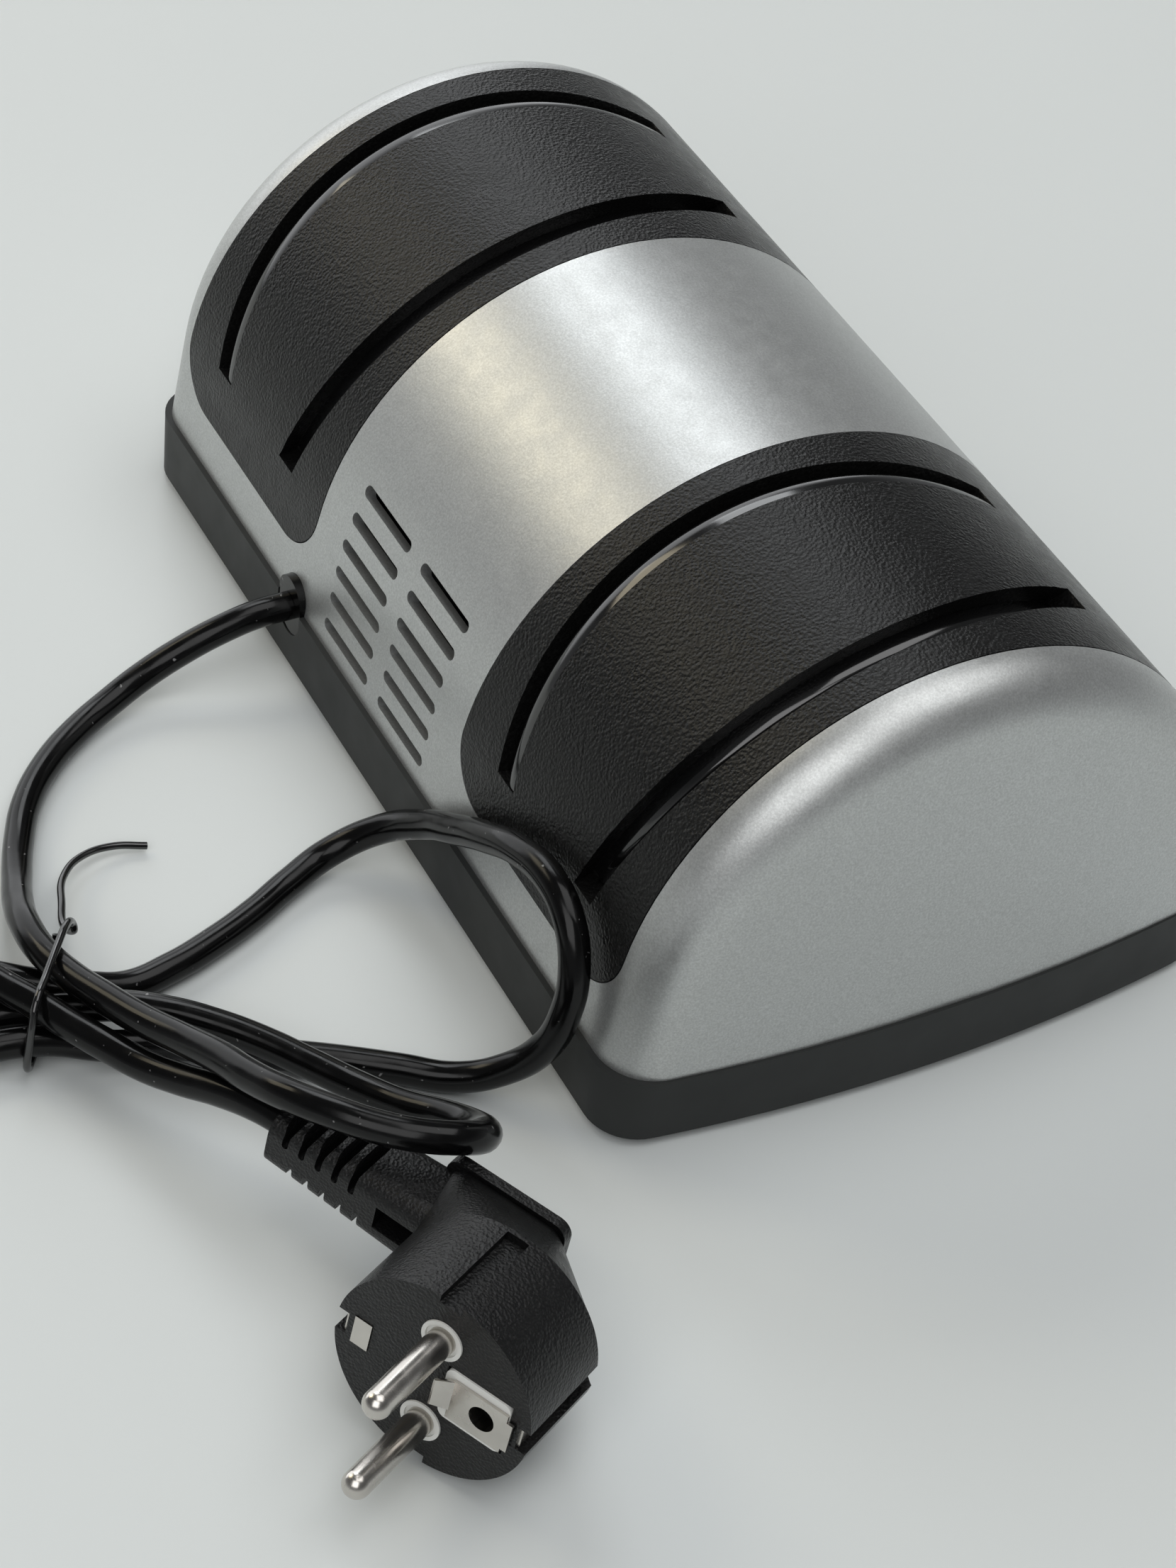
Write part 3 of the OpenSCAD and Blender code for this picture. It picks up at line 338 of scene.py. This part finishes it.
def metal(name, colour, rough, brushed=None, depth=0.00001):
    """Bare or plated metal, turned or brushed where brushed scales an axis"""
    made = Finish(name, colour, rough, metal=1.0)
    strokes = made.noise(0.0004, detail=3.0, stretch=brushed)
    made.bump(strokes, depth, 0.4)
    made.vary_rough(made.noise(0.003, detail=3.0), 0.06)
    made.vary_colour(made.curve(made.noise(0.005, detail=2.0), 0.35, 0.75), lighter(colour, 0.86))
    return made


def lamination_steel(name):
    """A stack of steel sheets"""
    sheet = 0.0005
    made = metal(name, (0.24, 0.24, 0.26), 0.42)
    made.bump(made.bands(sheet, "X"), 0.00006, 0.8)
    return made


def copper_winding(name):
    """Turns of enamelled wire side by side"""
    wire = 0.00045
    made = metal(name, (0.55, 0.2, 0.08), 0.3)
    made.bump(made.bands(wire, "Y", distort=0.2), 0.00012, 0.9)
    return made


def abrasive(name, colour, speck, grit):
    """Bonded grit: coloured grains and open pores"""
    made = Finish(name, colour, 0.85, specular=0.3)
    grains = made.cells(grit, feature="F1")
    made.vary_colour(made.curve(grains, 0.2, 0.7), speck)
    made.bump(grains, grit * 0.35, 0.9)
    made.bump(made.noise(grit * 0.5, detail=3.0), grit * 0.2, 0.6)
    return made


def moulded_plug(finishes):
    """The plug's PVC, with a grain a little finer and deeper than the covers'"""
    plug = Finish("plug_black", finishes.plug, 0.31, specular=0.31)
    leather_grain(plug, finishes.grain * 0.9, 0.0002)
    return plug


def finish_library(finishes):
    """Every material slot of the record with its node material"""
    made = {
        "silver_paint": silver_paint(finishes),
        "grained_black": grained_cover(finishes),
        "rail_black": polished_rail(finishes),
        "band_plastic": moulded("band_plastic", finishes.base, 0.5, specular=0.22),
        "foot_rubber": moulded("foot_rubber", (0.025, 0.025, 0.025), 0.8),
        "rocker_black": moulded("rocker_black", (0.018, 0.018, 0.02), 0.35),
        "cord_pvc": cord_pvc(finishes),
        "plug_black": moulded_plug(finishes),
        "clamp_plastic": moulded("clamp_plastic", (0.72, 0.7, 0.62), 0.5),
        "bobbin_plastic": moulded("bobbin_plastic", (0.75, 0.72, 0.62), 0.5),
        "fan_plastic": moulded("fan_plastic", (0.74, 0.74, 0.7), 0.45),
        "magnet_ferrite": moulded("magnet_ferrite", (0.07, 0.07, 0.075), 0.65, depth=0.00004),
        "carrier_white": moulded("carrier_white", (0.74, 0.74, 0.71), 0.4),
        "screw_steel": metal("screw_steel", (0.55, 0.56, 0.58), 0.35),
        "shaft_steel": metal("shaft_steel", (0.62, 0.63, 0.65), 0.22, brushed=(9.0, 1.0, 1.0)),
        "spring_steel": metal("spring_steel", (0.5, 0.51, 0.53), 0.3),
        "bracket_zinc": metal("bracket_zinc", (0.5, 0.5, 0.51), 0.5, depth=0.00004),
        "bushing_bronze": metal("bushing_bronze", (0.55, 0.36, 0.16), 0.42),
        "pin_nickel": metal("pin_nickel", finishes.nickel, 0.24),
        "core_steel": lamination_steel("core_steel"),
        "copper_wire": copper_winding("copper_wire"),
        "coarse_grit": abrasive("coarse_grit", (0.26, 0.16, 0.12), (0.45, 0.36, 0.3), 0.0007),
        "fine_grit": abrasive("fine_grit", (0.66, 0.64, 0.58), (0.8, 0.79, 0.74), 0.00035),
    }
    return {slot: finish.material for slot, finish in made.items()}


MADE = {}  # the materials by slot, once library() has made them


def library():
    """The finishes, made once"""
    if not MADE:
        MADE.update(finish_library(bpy.context.scene.sharpener_finishes))
    return MADE


SLOTS = {part["node"]: part["material_slot"] for part in frame["record"]["subparts"]}
PLUG_NODES = ("plug_body", "plug_insert", "plug_pins", "earth_contact")


def place_in_scene(name, data):
    """A new object with the data"""
    made = bpy.data.objects.new(name, data)
    bpy.context.scene.collection.objects.link(made)
    return made


def dress(*names):
    """Puts each CAD node's own finish on it"""
    for name in names:
        solid = frame["nodes"][name]
        solid.data.materials.clear()
        solid.data.materials.append(library()[SLOTS[name]])


# ---------------------------------------------------------------- cord

# The route of part.scad in millimetres: from the gland through the tie, over the plug's strain
# relief and back, round the fold that the view leaves out, round the loop that leans on the
# housing, and round the second fold to the plug.
ROUTE = [
    (33.2, 62.3, 15.4), (33.2, 69, 15.2), (33.5, 76, 13.4), (34, 84, 10), (33.5, 92, 6.6),
    (31, 100, 4.4), (27, 108, 3.4), (21, 116, 3), (13, 123, 3), (4, 128, 3.2), (-5.5, 132, 4.6),
    (-14, 135, 7.2), (-22.5, 136.8, 10.2), (-31, 136.9, 12), (-39, 135.1, 13.2), (-48, 132, 15),
    (-56.8, 128.8, 17.1), (-65, 125.6, 19.8), (-74, 122.8, 23.4), (-83, 120.8, 26.8),
    (-91, 118, 29.8), (-97.5, 113.8, 31), (-103.2, 108.6, 31.2), (-107.6, 102.6, 31),
    (-109.4, 95.9, 29.4), (-106.6, 90.6, 24.6), (-100.2, 88.6, 19), (-93, 90.5, 14.8),
    (-86, 94.5, 11.8), (-78, 99, 10), (-70.5, 103.8, 9.6), (-63, 109, 9.6), (-56, 115, 9.6),
    (-49.8, 121.6, 9.4), (-44.6, 128, 8.3), (-40.3, 134.4, 6.2), (-37.8, 140.7, 5.3),
    (-36, 147.4, 5.2), (-34.6, 155, 4), (-32.5, 163, 3), (-29.5, 172.5, 3), (-25.5, 182, 3),
    (-19.5, 190.5, 3), (-11.5, 196, 3), (-2.5, 196.5, 3), (5, 191.5, 3), (7.5, 182.5, 3),
    (3.5, 174, 3), (-3.5, 166.5, 3), (-11.5, 158.9, 3), (-15.5, 155.1, 3), (-21.5, 149.4, 3.6),
    (-27.2, 144, 4.8), (-31.9, 138.4, 5.4), (-34.8, 131.5, 4.8), (-36.2, 123.5, 3),
    (-35, 114.5, 3), (-32.2, 105.5, 3), (-28.5, 96.5, 3), (-24, 87.5, 3.2), (-21, 78, 5),
    (-24, 69.8, 10.5), (-32, 65.5, 17.5), (-42, 64.3, 25), (-52, 63.6, 32), (-62, 62.8, 37.5),
    (-71, 62.3, 39.6), (-79, 62.6, 37.8), (-84.5, 63.6, 31.5), (-86.5, 65.4, 23),
    (-85.5, 68, 14.5), (-82, 73, 7.4), (-77.5, 80, 3.6), (-71.5, 88, 3), (-66, 96.5, 3),
    (-61, 105, 3), (-55.5, 114, 3), (-51, 123, 3), (-48.2, 132, 3.5), (-44.6, 141.5, 5.2),
    (-42.6, 149.5, 5.2), (-41, 158, 4), (-38.8, 167, 3), (-35.6, 177, 3), (-31.3, 187, 3),
    (-25, 196, 3), (-16, 202.5, 3), (-5, 204.5, 3), (5.5, 200.5, 3), (13, 192.5, 3),
    (15.5, 182, 3.4), (13, 172, 5.2), (6.5, 163.5, 7.6), (-2, 157.5, 9.8), (-11.5, 154, 11.4),
    (-20.5, 151.5, 12), (-29, 149.3, 12), (-36, 145.9, 12), (-42, 142.2, 12), (-48.8, 138.5, 11.9),
    (-55, 134.9, 11.9), (-62, 131.2, 12.6), (-69, 127.2, 14.6), (-76, 123.2, 17.4),
    (-83.25, 119.55, 19.6), (-88.54, 116.74, 19.92),
]

# The tie's ring round the bundle, across the cord and up, then its free end on the table
TIE_RING = [
    (-12.6, 9.5), (-10.8, 6.4), (-9.2, 3.2), (-6, 1.15), (1, 1.15), (9, 1.15), (12.6, 2.6),
    (14, 5.8), (13.2, 9), (11.8, 13), (9.2, 16.2), (4, 16.4), (-3, 16.6), (-9, 16), (-12.3, 13.6),
    (-13, 10.8),
]
TIE_END = [
    (-24, 130.2, 8.6), (-17, 128, 7), (-9, 124.5, 5), (-4, 119, 3.4), (-2.6, 112.5, 2.2),
    (-4, 106.5, 1.4),
]


# Where the bundle is tied, the way its strands run there, and how far the ring winds along them
TIE_MIDDLE = Vector((-36, 140, 0))
TIE_ALONG = Vector((0.57, 0.82, 0)).normalized()
TIE_START = -0.4
TIE_WIND = -3.0
TUBE_ROUNDNESS = 7


def in_metres(points):
    """Points in millimetres as vectors in metres"""
    return [Vector(p) * MM for p in points]


def tube(name, points, diameter, steps, material):
    """A round tube through the points, as one smooth open spline"""
    data = bpy.data.curves.new(name, "CURVE")
    data.dimensions = "3D"
    data.resolution_u = steps
    data.bevel_depth = diameter / 2
    data.bevel_resolution = TUBE_ROUNDNESS
    data.use_fill_caps = True
    spline = data.splines.new("BEZIER")
    spline.bezier_points.add(len(points) - 1)
    for knot, point in zip(spline.bezier_points, points):
        knot.co = point
        knot.handle_left_type = knot.handle_right_type = "AUTO"
    data.materials.append(material)
    return place_in_scene(name, data)


def tie_points():
    """The tie's path: round the bundle, a little further along at each point, then its free end"""
    across = Vector((-TIE_ALONG.y, TIE_ALONG.x, 0))
    last = len(TIE_RING) - 1
    ring = [
        TIE_MIDDLE + across * u + Vector((0, 0, z)) + TIE_ALONG * (TIE_START + TIE_WIND * i / last)
        for i, (u, z) in enumerate(TIE_RING)
    ]
    return in_metres(ring + [Vector(p) for p in TIE_END])


class SHARPENER_OT_cord(Operator):
    """Lays the mains cord along its route, with the tie round the bundle"""

    bl_idname = "sharpener.cord"
    bl_label = "Mains Cord"

    def execute(self, context):
        sizes = context.scene.sharpener_cord
        route = in_metres(ROUTE)
        cord = tube("mains_cord", route, sizes.diameter, sizes.smooth, library()["cord_pvc"])
        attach(cord, "casing")
        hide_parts("cord_lead", "cord_loops")
        tie = tube("wire_tie", tie_points(), sizes.tie, sizes.smooth, library()["rail_black"])
        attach(tie, "casing")
        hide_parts("cord_tie")
        return {"FINISHED"}


# ---------------------------------------------------------------- formed pieces


SOFT_ANGLE = math.radians(32)  # flatter edges of a stand-in are shaded smooth
WELD = 1e-6  # solids' vertices nearer than this, in metres, are one


def body_of(node):
    """The body that a CAD node belongs to"""
    bodies = frame["record"]["behaviour"]["bodies"]
    return next(body for body, nodes in bodies.items() if node in nodes)


def soften(work, limit):
    """Shades smooth, apart from edges sharper than the limit"""
    for face in work.faces:
        face.smooth = True
    for edge in work.edges:
        edge.smooth = len(edge.link_faces) == 2 and edge.calc_face_angle() < limit


def stand_in(name, label=None, reshape=None):
    """A smoothly shaded copy of a CAD node, reshaped where asked, that stands for it"""
    label = label or name + "_skin"
    work = bmesh.new()
    work.from_mesh(frame["nodes"][name].data)
    bmesh.ops.remove_doubles(work, verts=work.verts, dist=WELD)
    if reshape:
        reshape(work)
    soften(work, SOFT_ANGLE)
    mesh = bpy.data.meshes.new(label)
    work.to_mesh(mesh)
    work.free()
    mesh.materials.append(library()[SLOTS[name]])
    made = place_in_scene(label, mesh)
    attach(made, body_of(name))
    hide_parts(name)
    return made


class SlotPlan:
    """Where the blade slots run on the arch, in millimetres and degrees, as in part.scad"""

    arch = 59.5  # radius of the arch
    centre = 26.0  # height of its axis
    edge = 23.9  # a slot's outer edge at its middle, from the middle of the cover
    drop = 6.6  # how much nearer the outer edge is at the slot's ends
    middle = 68.0  # angle of the slot's middle, from the back
    half = 56.0  # angle from there to each end
    width = 4.7  # opening of the solid
    lean = math.tan(math.radians(18.0))  # the walls go this far inwards for each millimetre down
    skirt = 1.6  # wall that hangs beside the opening
    closing = 0.75  # share of the solid's opening that is gone at the ends
    lateness = 10  # power of that; the higher, the nearer to the ends it closes

    @classmethod
    def outer(cls, angle):
        """The outer edge at an angle, from the middle of the cover"""
        return cls.edge - cls.drop * ((angle - cls.middle) / cls.half) ** 2

    @classmethod
    def solid_width(cls, angle):
        """The solid's opening at an angle; it closes towards the ends"""
        run = min(1.0, abs(angle - cls.middle) / cls.half)
        return cls.width * (1 - cls.closing * run ** cls.lateness)

    @classmethod
    def place(cls, side, u, radius, angle, centre_x):
        """The point u out from the cover's middle, at a radius and an angle, in metres"""
        turn = math.radians(angle)
        return Vector((
            centre_x + side * u * MM,
            radius * math.cos(turn) * MM,
            (cls.centre + radius * math.sin(turn)) * MM,
        ))


# How near a vertex lies to the wall that it is taken to be on, in millimetres
ON_OUTER_WALL = 0.08
ON_INNER_WALL = 0.35
ON_ARCH = 0.1
PAST_OPENING = 0.3  # a vertex of the arch inside the new opening goes this far past its edge
PAST_ENDS = 3.0  # degrees beyond a slot's ends that still belong to it


def open_slots(centre_x, opening):
    """Widens a cover's slots to the opening, up to their ends, with upright outer walls"""
    plan = SlotPlan

    def reshape(work):
        for vert in work.verts:
            y, z = vert.co.y / MM, vert.co.z / MM - plan.centre
            radius, angle = math.hypot(y, z), math.degrees(math.atan2(z, y))
            if abs(angle - plan.middle) > plan.half + PAST_ENDS:
                continue
            side = 1 if vert.co.x > centre_x else -1
            u = abs(vert.co.x - centre_x) / MM
            leaned = (plan.arch - radius) * plan.lean
            inward = plan.outer(angle) - leaned - u
            width = plan.solid_width(angle)
            if abs(inward) < ON_OUTER_WALL:
                u += leaned
            elif min(abs(inward - width), abs(inward - width - plan.skirt)) < ON_INNER_WALL:
                u -= opening - width
            elif radius > plan.arch - ON_ARCH and width < inward < opening + PAST_OPENING:
                u = plan.outer(angle) - leaned - opening - PAST_OPENING
            vert.co.x = centre_x + side * u * MM

    return reshape


# The lip's section, from the cover's middle block towards the gap: millimetres out and down
LIP = [
    (0.0, 0.1), (1.0, 0.13), (1.8, 0.22), (2.5, 0.38), (3.0, 0.56), (3.4, 0.77), (3.7, 1.0),
    (3.95, 1.3), (4.15, 1.7), (4.25, 2.2), (4.3, 3.0), (4.3, 4.4),
]
LIP_STEPS = 112  # sections along a slot
LIP_SHORT = 0.3  # degrees by which a lip stops short of each end
LIP_LAP = 0.02  # millimetres by which it stands off the wall behind it
LIP_SOFT_ANGLE = math.radians(50)


def blade_lips(name, centre_x, opening, drops):
    """The polished lips beside the middle block, one smooth sweep along each slot"""
    plan = SlotPlan
    section = LIP + [(0.0, LIP[-1][1])]
    ring = len(section)
    run = 2 * (plan.half - LIP_SHORT)
    verts, faces = [], []
    for side, drop in zip((1, -1), drops):
        first = len(verts)
        for k in range(LIP_STEPS + 1):
            angle = plan.middle - run / 2 + run * k / LIP_STEPS
            inner = plan.outer(angle) - opening + LIP_LAP
            for out, down in section:
                low = down + drop
                u = inner + out - low * plan.lean
                verts.append(plan.place(side, u, plan.arch - low, angle, centre_x))
        for k in range(LIP_STEPS):
            here = first + k * ring
            there = here + ring
            for i in range(ring):
                j = (i + 1) % ring
                faces.append((here + i, here + j, there + j, there + i))
        for start in (first, first + LIP_STEPS * ring):
            faces.append(list(range(start, start + ring)))
    mesh = bpy.data.meshes.new(name)
    mesh.from_pydata(verts, [], faces)
    work = bmesh.new()
    work.from_mesh(mesh)
    bmesh.ops.recalc_face_normals(work, faces=work.faces)
    soften(work, LIP_SOFT_ANGLE)
    work.to_mesh(mesh)
    work.free()
    mesh.materials.append(library()["rail_black"])
    return place_in_scene(name, mesh)


def keep_half(middle, side):
    """Cuts a mesh at x = middle, keeps one side of it and closes the cut"""

    def reshape(work):
        bmesh.ops.bisect_plane(
            work, geom=work.verts[:] + work.edges[:] + work.faces[:], plane_co=(middle, 0, 0),
            plane_no=(-side, 0, 0), clear_outer=True,
        )
        bmesh.ops.holes_fill(work, edges=[edge for edge in work.edges if edge.is_boundary])

    return reshape


# The slides of the wheels at each spring's left and right end
SPRING_SLIDES = {
    "coarse_spring": ("coarse_outer_wheel_slide", "coarse_inner_wheel_slide"),
    "fine_spring": ("fine_inner_wheel_slide", "fine_outer_wheel_slide"),
}


def spring_halves(name):
    """A spring in two halves, cut at its middle, each a smoothly shaded copy of its side"""
    low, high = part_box(name)
    middle, half = (low[0] + high[0]) / 2, (high[0] - low[0]) / 2
    for side, end, slide in zip((-1, 1), ("left", "right"), SPRING_SLIDES[name]):
        made = stand_in(name, f"{name}_{end}", keep_half(middle, side))
        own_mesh(made)


# ---------------------------------------------------------------- pieces


class SHARPENER_OT_casing(Operator):
    """Forms the base and the arched housing, and finishes the feet, the screws and the gland"""

    bl_idname = "sharpener.casing"
    bl_label = "Casing"

    def execute(self, context):
        stand_in("upper_housing")
        stand_in("base_tray")
        dress("rubber_feet", "housing_screws", "cord_gland")
        return {"FINISHED"}


class SHARPENER_OT_guide_covers(Operator):
    """Forms the grained guide covers and the polished lips beside their slots"""

    bl_idname = "sharpener.guide_covers"
    bl_label = "Guide Covers"

    def execute(self, context):
        slots = context.scene.sharpener_slots
        opening = slots.opening / MM
        for stage_name in ("coarse", "fine"):
            low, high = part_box(stage_name + "_guide_cover")
            centre_x = (low[0] + high[0]) / 2
            stand_in(stage_name + "_guide_cover", reshape=open_slots(centre_x, opening))
            drops = (0.0, slots.lip_drop / MM)  # of the right lip and the left
            lips = blade_lips(stage_name + "_blade_lips", centre_x, opening, drops)
            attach(lips, "casing")
            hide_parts(stage_name + "_blade_rails")
        return {"FINISHED"}


class SHARPENER_OT_switch(Operator):
    """Finishes the rocker switch"""

    bl_idname = "sharpener.switch"
    bl_label = "Rocker Switch"

    def execute(self, context):
        dress("switch_frame", "switch_terminals", "rocker_button")
        return {"FINISHED"}


class SHARPENER_OT_motor(Operator):
    """Finishes the motor, its brackets, wires and fan"""

    bl_idname = "sharpener.motor"
    bl_label = "Motor"

    def execute(self, context):
        dress(
            "stator_core", "coil_bobbin", "coil_winding", "left_motor_bracket",
            "right_motor_bracket", "left_bushing", "right_bushing", "core_screws", "motor_screws",
            "rotor_core", "cooling_fan", "inner_cord", "cord_clamp", "clamp_screws",
        )
        return {"FINISHED"}


class SHARPENER_OT_grinders(Operator):
    """Finishes the shaft, the grinding wheels and the magnets under them, and forms the springs"""

    bl_idname = "sharpener.grinders"
    bl_label = "Grinding Wheels"

    def execute(self, context):
        dress(
            "drive_shaft", "shaft_collars", "coarse_outer_wheel", "coarse_inner_wheel",
            "fine_inner_wheel", "fine_outer_wheel", "filings_magnets",
        )
        for spring in SPRING_SLIDES:
            spring_halves(spring)
        return {"FINISHED"}


class SHARPENER_OT_plug(Operator):
    """Finishes the plug"""

    bl_idname = "sharpener.plug"
    bl_label = "Plug"

    def execute(self, context):
        dress(*PLUG_NODES)
        return {"FINISHED"}


# ---------------------------------------------------------------- studio


# Each lamp's place, what it faces, width, power and colour. The first two give the paint its two
# bright bands, and the others fill the rest softly.
LAMPS = {
    "window_lamp": ((1.36, -0.31, 1.5), (0, 0, 0.05), 0.75, 6.3, (0.95, 0.98, 1.0)),
    "warm_lamp": ((1.36, 0.86, 1.26), (0, 0, 0.05), 0.7, 4.6, (1.0, 0.9, 0.68)),
    "back_lamp": ((-1.3, 1.3, 1.9), (0, 0.05, 0), 2.0, 25.0, (1.0, 1.0, 1.0)),
    "ceiling_lamp": ((-0.2, -0.5, 2.3), (0, 0.02, 0), 1.8, 20.0, (1.0, 1.0, 1.0)),
}
# The world's strength is the sum of two ramps over its direction: the axis, the values between
# which it changes, and the strength at each. The second is the bright wall beside the window.
WORLD_COLOUR = (0.96, 0.98, 1.0, 1.0)
WORLD_RAMPS = (("Z", 0.0, 0.35, 0.34, 0.11), ("X", 0.77, 0.84, 0.0, 1.4))
SENSOR_WIDTH = 36.0  # millimetres
CLIP_START, CLIP_END = 0.01, 50.0
FLOOR_HALF = 6.0
FLOOR_CORNERS = ((-1, -1), (1, -1), (1, 1), (-1, 1))  # in FLOOR_HALF
FLOOR_DROP = 0.00005  # keeps the floor out of the plane that the feet stand on


def lamp(name, place, target, size, power, colour):
    """A square soft lamp that faces the target"""
    data = bpy.data.lights.new(name, "AREA")
    data.shape = "SQUARE"
    data.size = size
    data.energy = power
    data.color = colour
    made = place_in_scene(name, data)
    made.location = place
    made.rotation_euler = (Vector(target) - Vector(place)).to_track_quat("-Z", "Y").to_euler()


class SHARPENER_OT_stage(Operator):
    """Sets the camera, the paper floor, the lamps and the world"""

    bl_idname = "sharpener.stage"
    bl_label = "Studio"

    def execute(self, context):
        studio = context.scene.sharpener_studio
        self.set_camera(context, studio)
        self.set_floor(studio)
        self.set_lamps(context, studio)
        context.scene.view_settings.view_transform = "Standard"
        return {"FINISHED"}

    def set_camera(self, context, studio):
        """The camera that the photo was taken from, as solved from the body's edges"""
        az, el, roll = studio.azimuth, studio.elevation, studio.roll
        back = Vector((math.sin(az) * math.cos(el), -math.cos(az) * math.cos(el), math.sin(el)))
        right = (-back).cross(Vector((0, 0, 1))).normalized()
        up = right.cross(-back)
        turned = right * math.cos(roll) + up * math.sin(roll)
        upward = up * math.cos(roll) - right * math.sin(roll)
        data = bpy.data.cameras.new("photo_camera")
        data.sensor_width = SENSOR_WIDTH
        data.lens = studio.lens
        data.clip_start = CLIP_START
        data.clip_end = CLIP_END
        camera = place_in_scene("photo_camera", data)
        turn = Matrix((turned, upward, back)).transposed().to_4x4()
        camera.matrix_world = Matrix.Translation(studio.position) @ turn
        context.scene.camera = camera

    def set_floor(self, studio):
        """A wide sheet of pale paper"""
        mesh = bpy.data.meshes.new("paper_floor")
        corners = [(x * FLOOR_HALF, y * FLOOR_HALF, 0) for x, y in FLOOR_CORNERS]
        mesh.from_pydata(corners, [], [(0, 1, 2, 3)])
        floor = place_in_scene("paper_floor", mesh)
        floor.location.z = -FLOOR_DROP
        paper = Finish("paper", studio.floor, 0.6, specular=0.3)
        paper.bump(paper.noise(0.0015, detail=3.0), 0.00003, 0.3)
        clouds = paper.curve(paper.noise(0.25, detail=2.0), *NOISE_RANGE)
        paper.vary_colour(clouds, lighter(studio.floor, 0.97))
        mesh.materials.append(paper.material)

    def set_lamps(self, context, studio):
        """The lamps, and a world that is brighter low down and beside the window"""
        for name, (place, target, size, power, colour) in LAMPS.items():
            lamp(name, place, target, size, power * studio.strength, colour)
        world = bpy.data.worlds.new("studio_world")
        world.use_nodes = True
        tree = world.node_tree
        shade = tree.nodes["Background"]
        shade.inputs["Color"].default_value = WORLD_COLOUR
        place = tree.nodes.new("ShaderNodeTexCoord")
        split = tree.nodes.new("ShaderNodeSeparateXYZ")
        tree.links.new(place.outputs["Generated"], split.inputs["Vector"])
        total = tree.nodes.new("ShaderNodeMath")
        for i, (axis, start, end, low, high) in enumerate(WORLD_RAMPS):
            ramp = tree.nodes.new("ShaderNodeMapRange")
            ramp.inputs["From Min"].default_value = start
            ramp.inputs["From Max"].default_value = end
            ramp.inputs["To Min"].default_value = low * studio.strength
            ramp.inputs["To Max"].default_value = high * studio.strength
            tree.links.new(split.outputs[axis], ramp.inputs["Value"])
            tree.links.new(ramp.outputs["Result"], total.inputs[i])
        tree.links.new(total.outputs["Value"], shade.inputs["Strength"])
        context.scene.world = world


# ---------------------------------------------------------------- panel and registration

STEPS = (
    SHARPENER_OT_stage, SHARPENER_OT_cord, SHARPENER_OT_casing, SHARPENER_OT_guide_covers,
    SHARPENER_OT_switch, SHARPENER_OT_motor, SHARPENER_OT_grinders, SHARPENER_OT_plug,
)
GROUPS = {
    "sharpener_finishes": SharpenerFinishes,
    "sharpener_cord": SharpenerCord,
    "sharpener_slots": SharpenerSlots,
    "sharpener_studio": SharpenerStudio,
}


class SHARPENER_PT_panel(Panel):
    """Lists the sharpener's values and the steps that build its scene"""

    bl_idname = "SHARPENER_PT_panel"
    bl_label = "Knife Sharpener"
    bl_space_type = "VIEW_3D"
    bl_region_type = "UI"
    bl_category = "Sharpener"

    def draw(self, context):
        for name, group in GROUPS.items():
            box = self.layout.box()
            values = getattr(context.scene, name)
            for key in group.__annotations__:
                box.prop(values, key)
        for step in STEPS:
            self.layout.operator(step.bl_idname)


def register():
    """Adds the classes and puts the groups of values on the scene"""
    for cls in (*GROUPS.values(), *STEPS, SHARPENER_PT_panel):
        bpy.utils.register_class(cls)
    for name, group in GROUPS.items():
        setattr(bpy.types.Scene, name, PointerProperty(type=group))


def unregister():
    """Takes away what register added"""
    for name in GROUPS:
        delattr(bpy.types.Scene, name)
    for cls in reversed((*GROUPS.values(), *STEPS, SHARPENER_PT_panel)):
        bpy.utils.unregister_class(cls)


def main():
    """Registers the add-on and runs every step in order"""
    register()
    for step in STEPS:
        group, name = step.bl_idname.split(".")
        getattr(getattr(bpy.ops, group), name)()


if __name__ == "__main__":
    main()
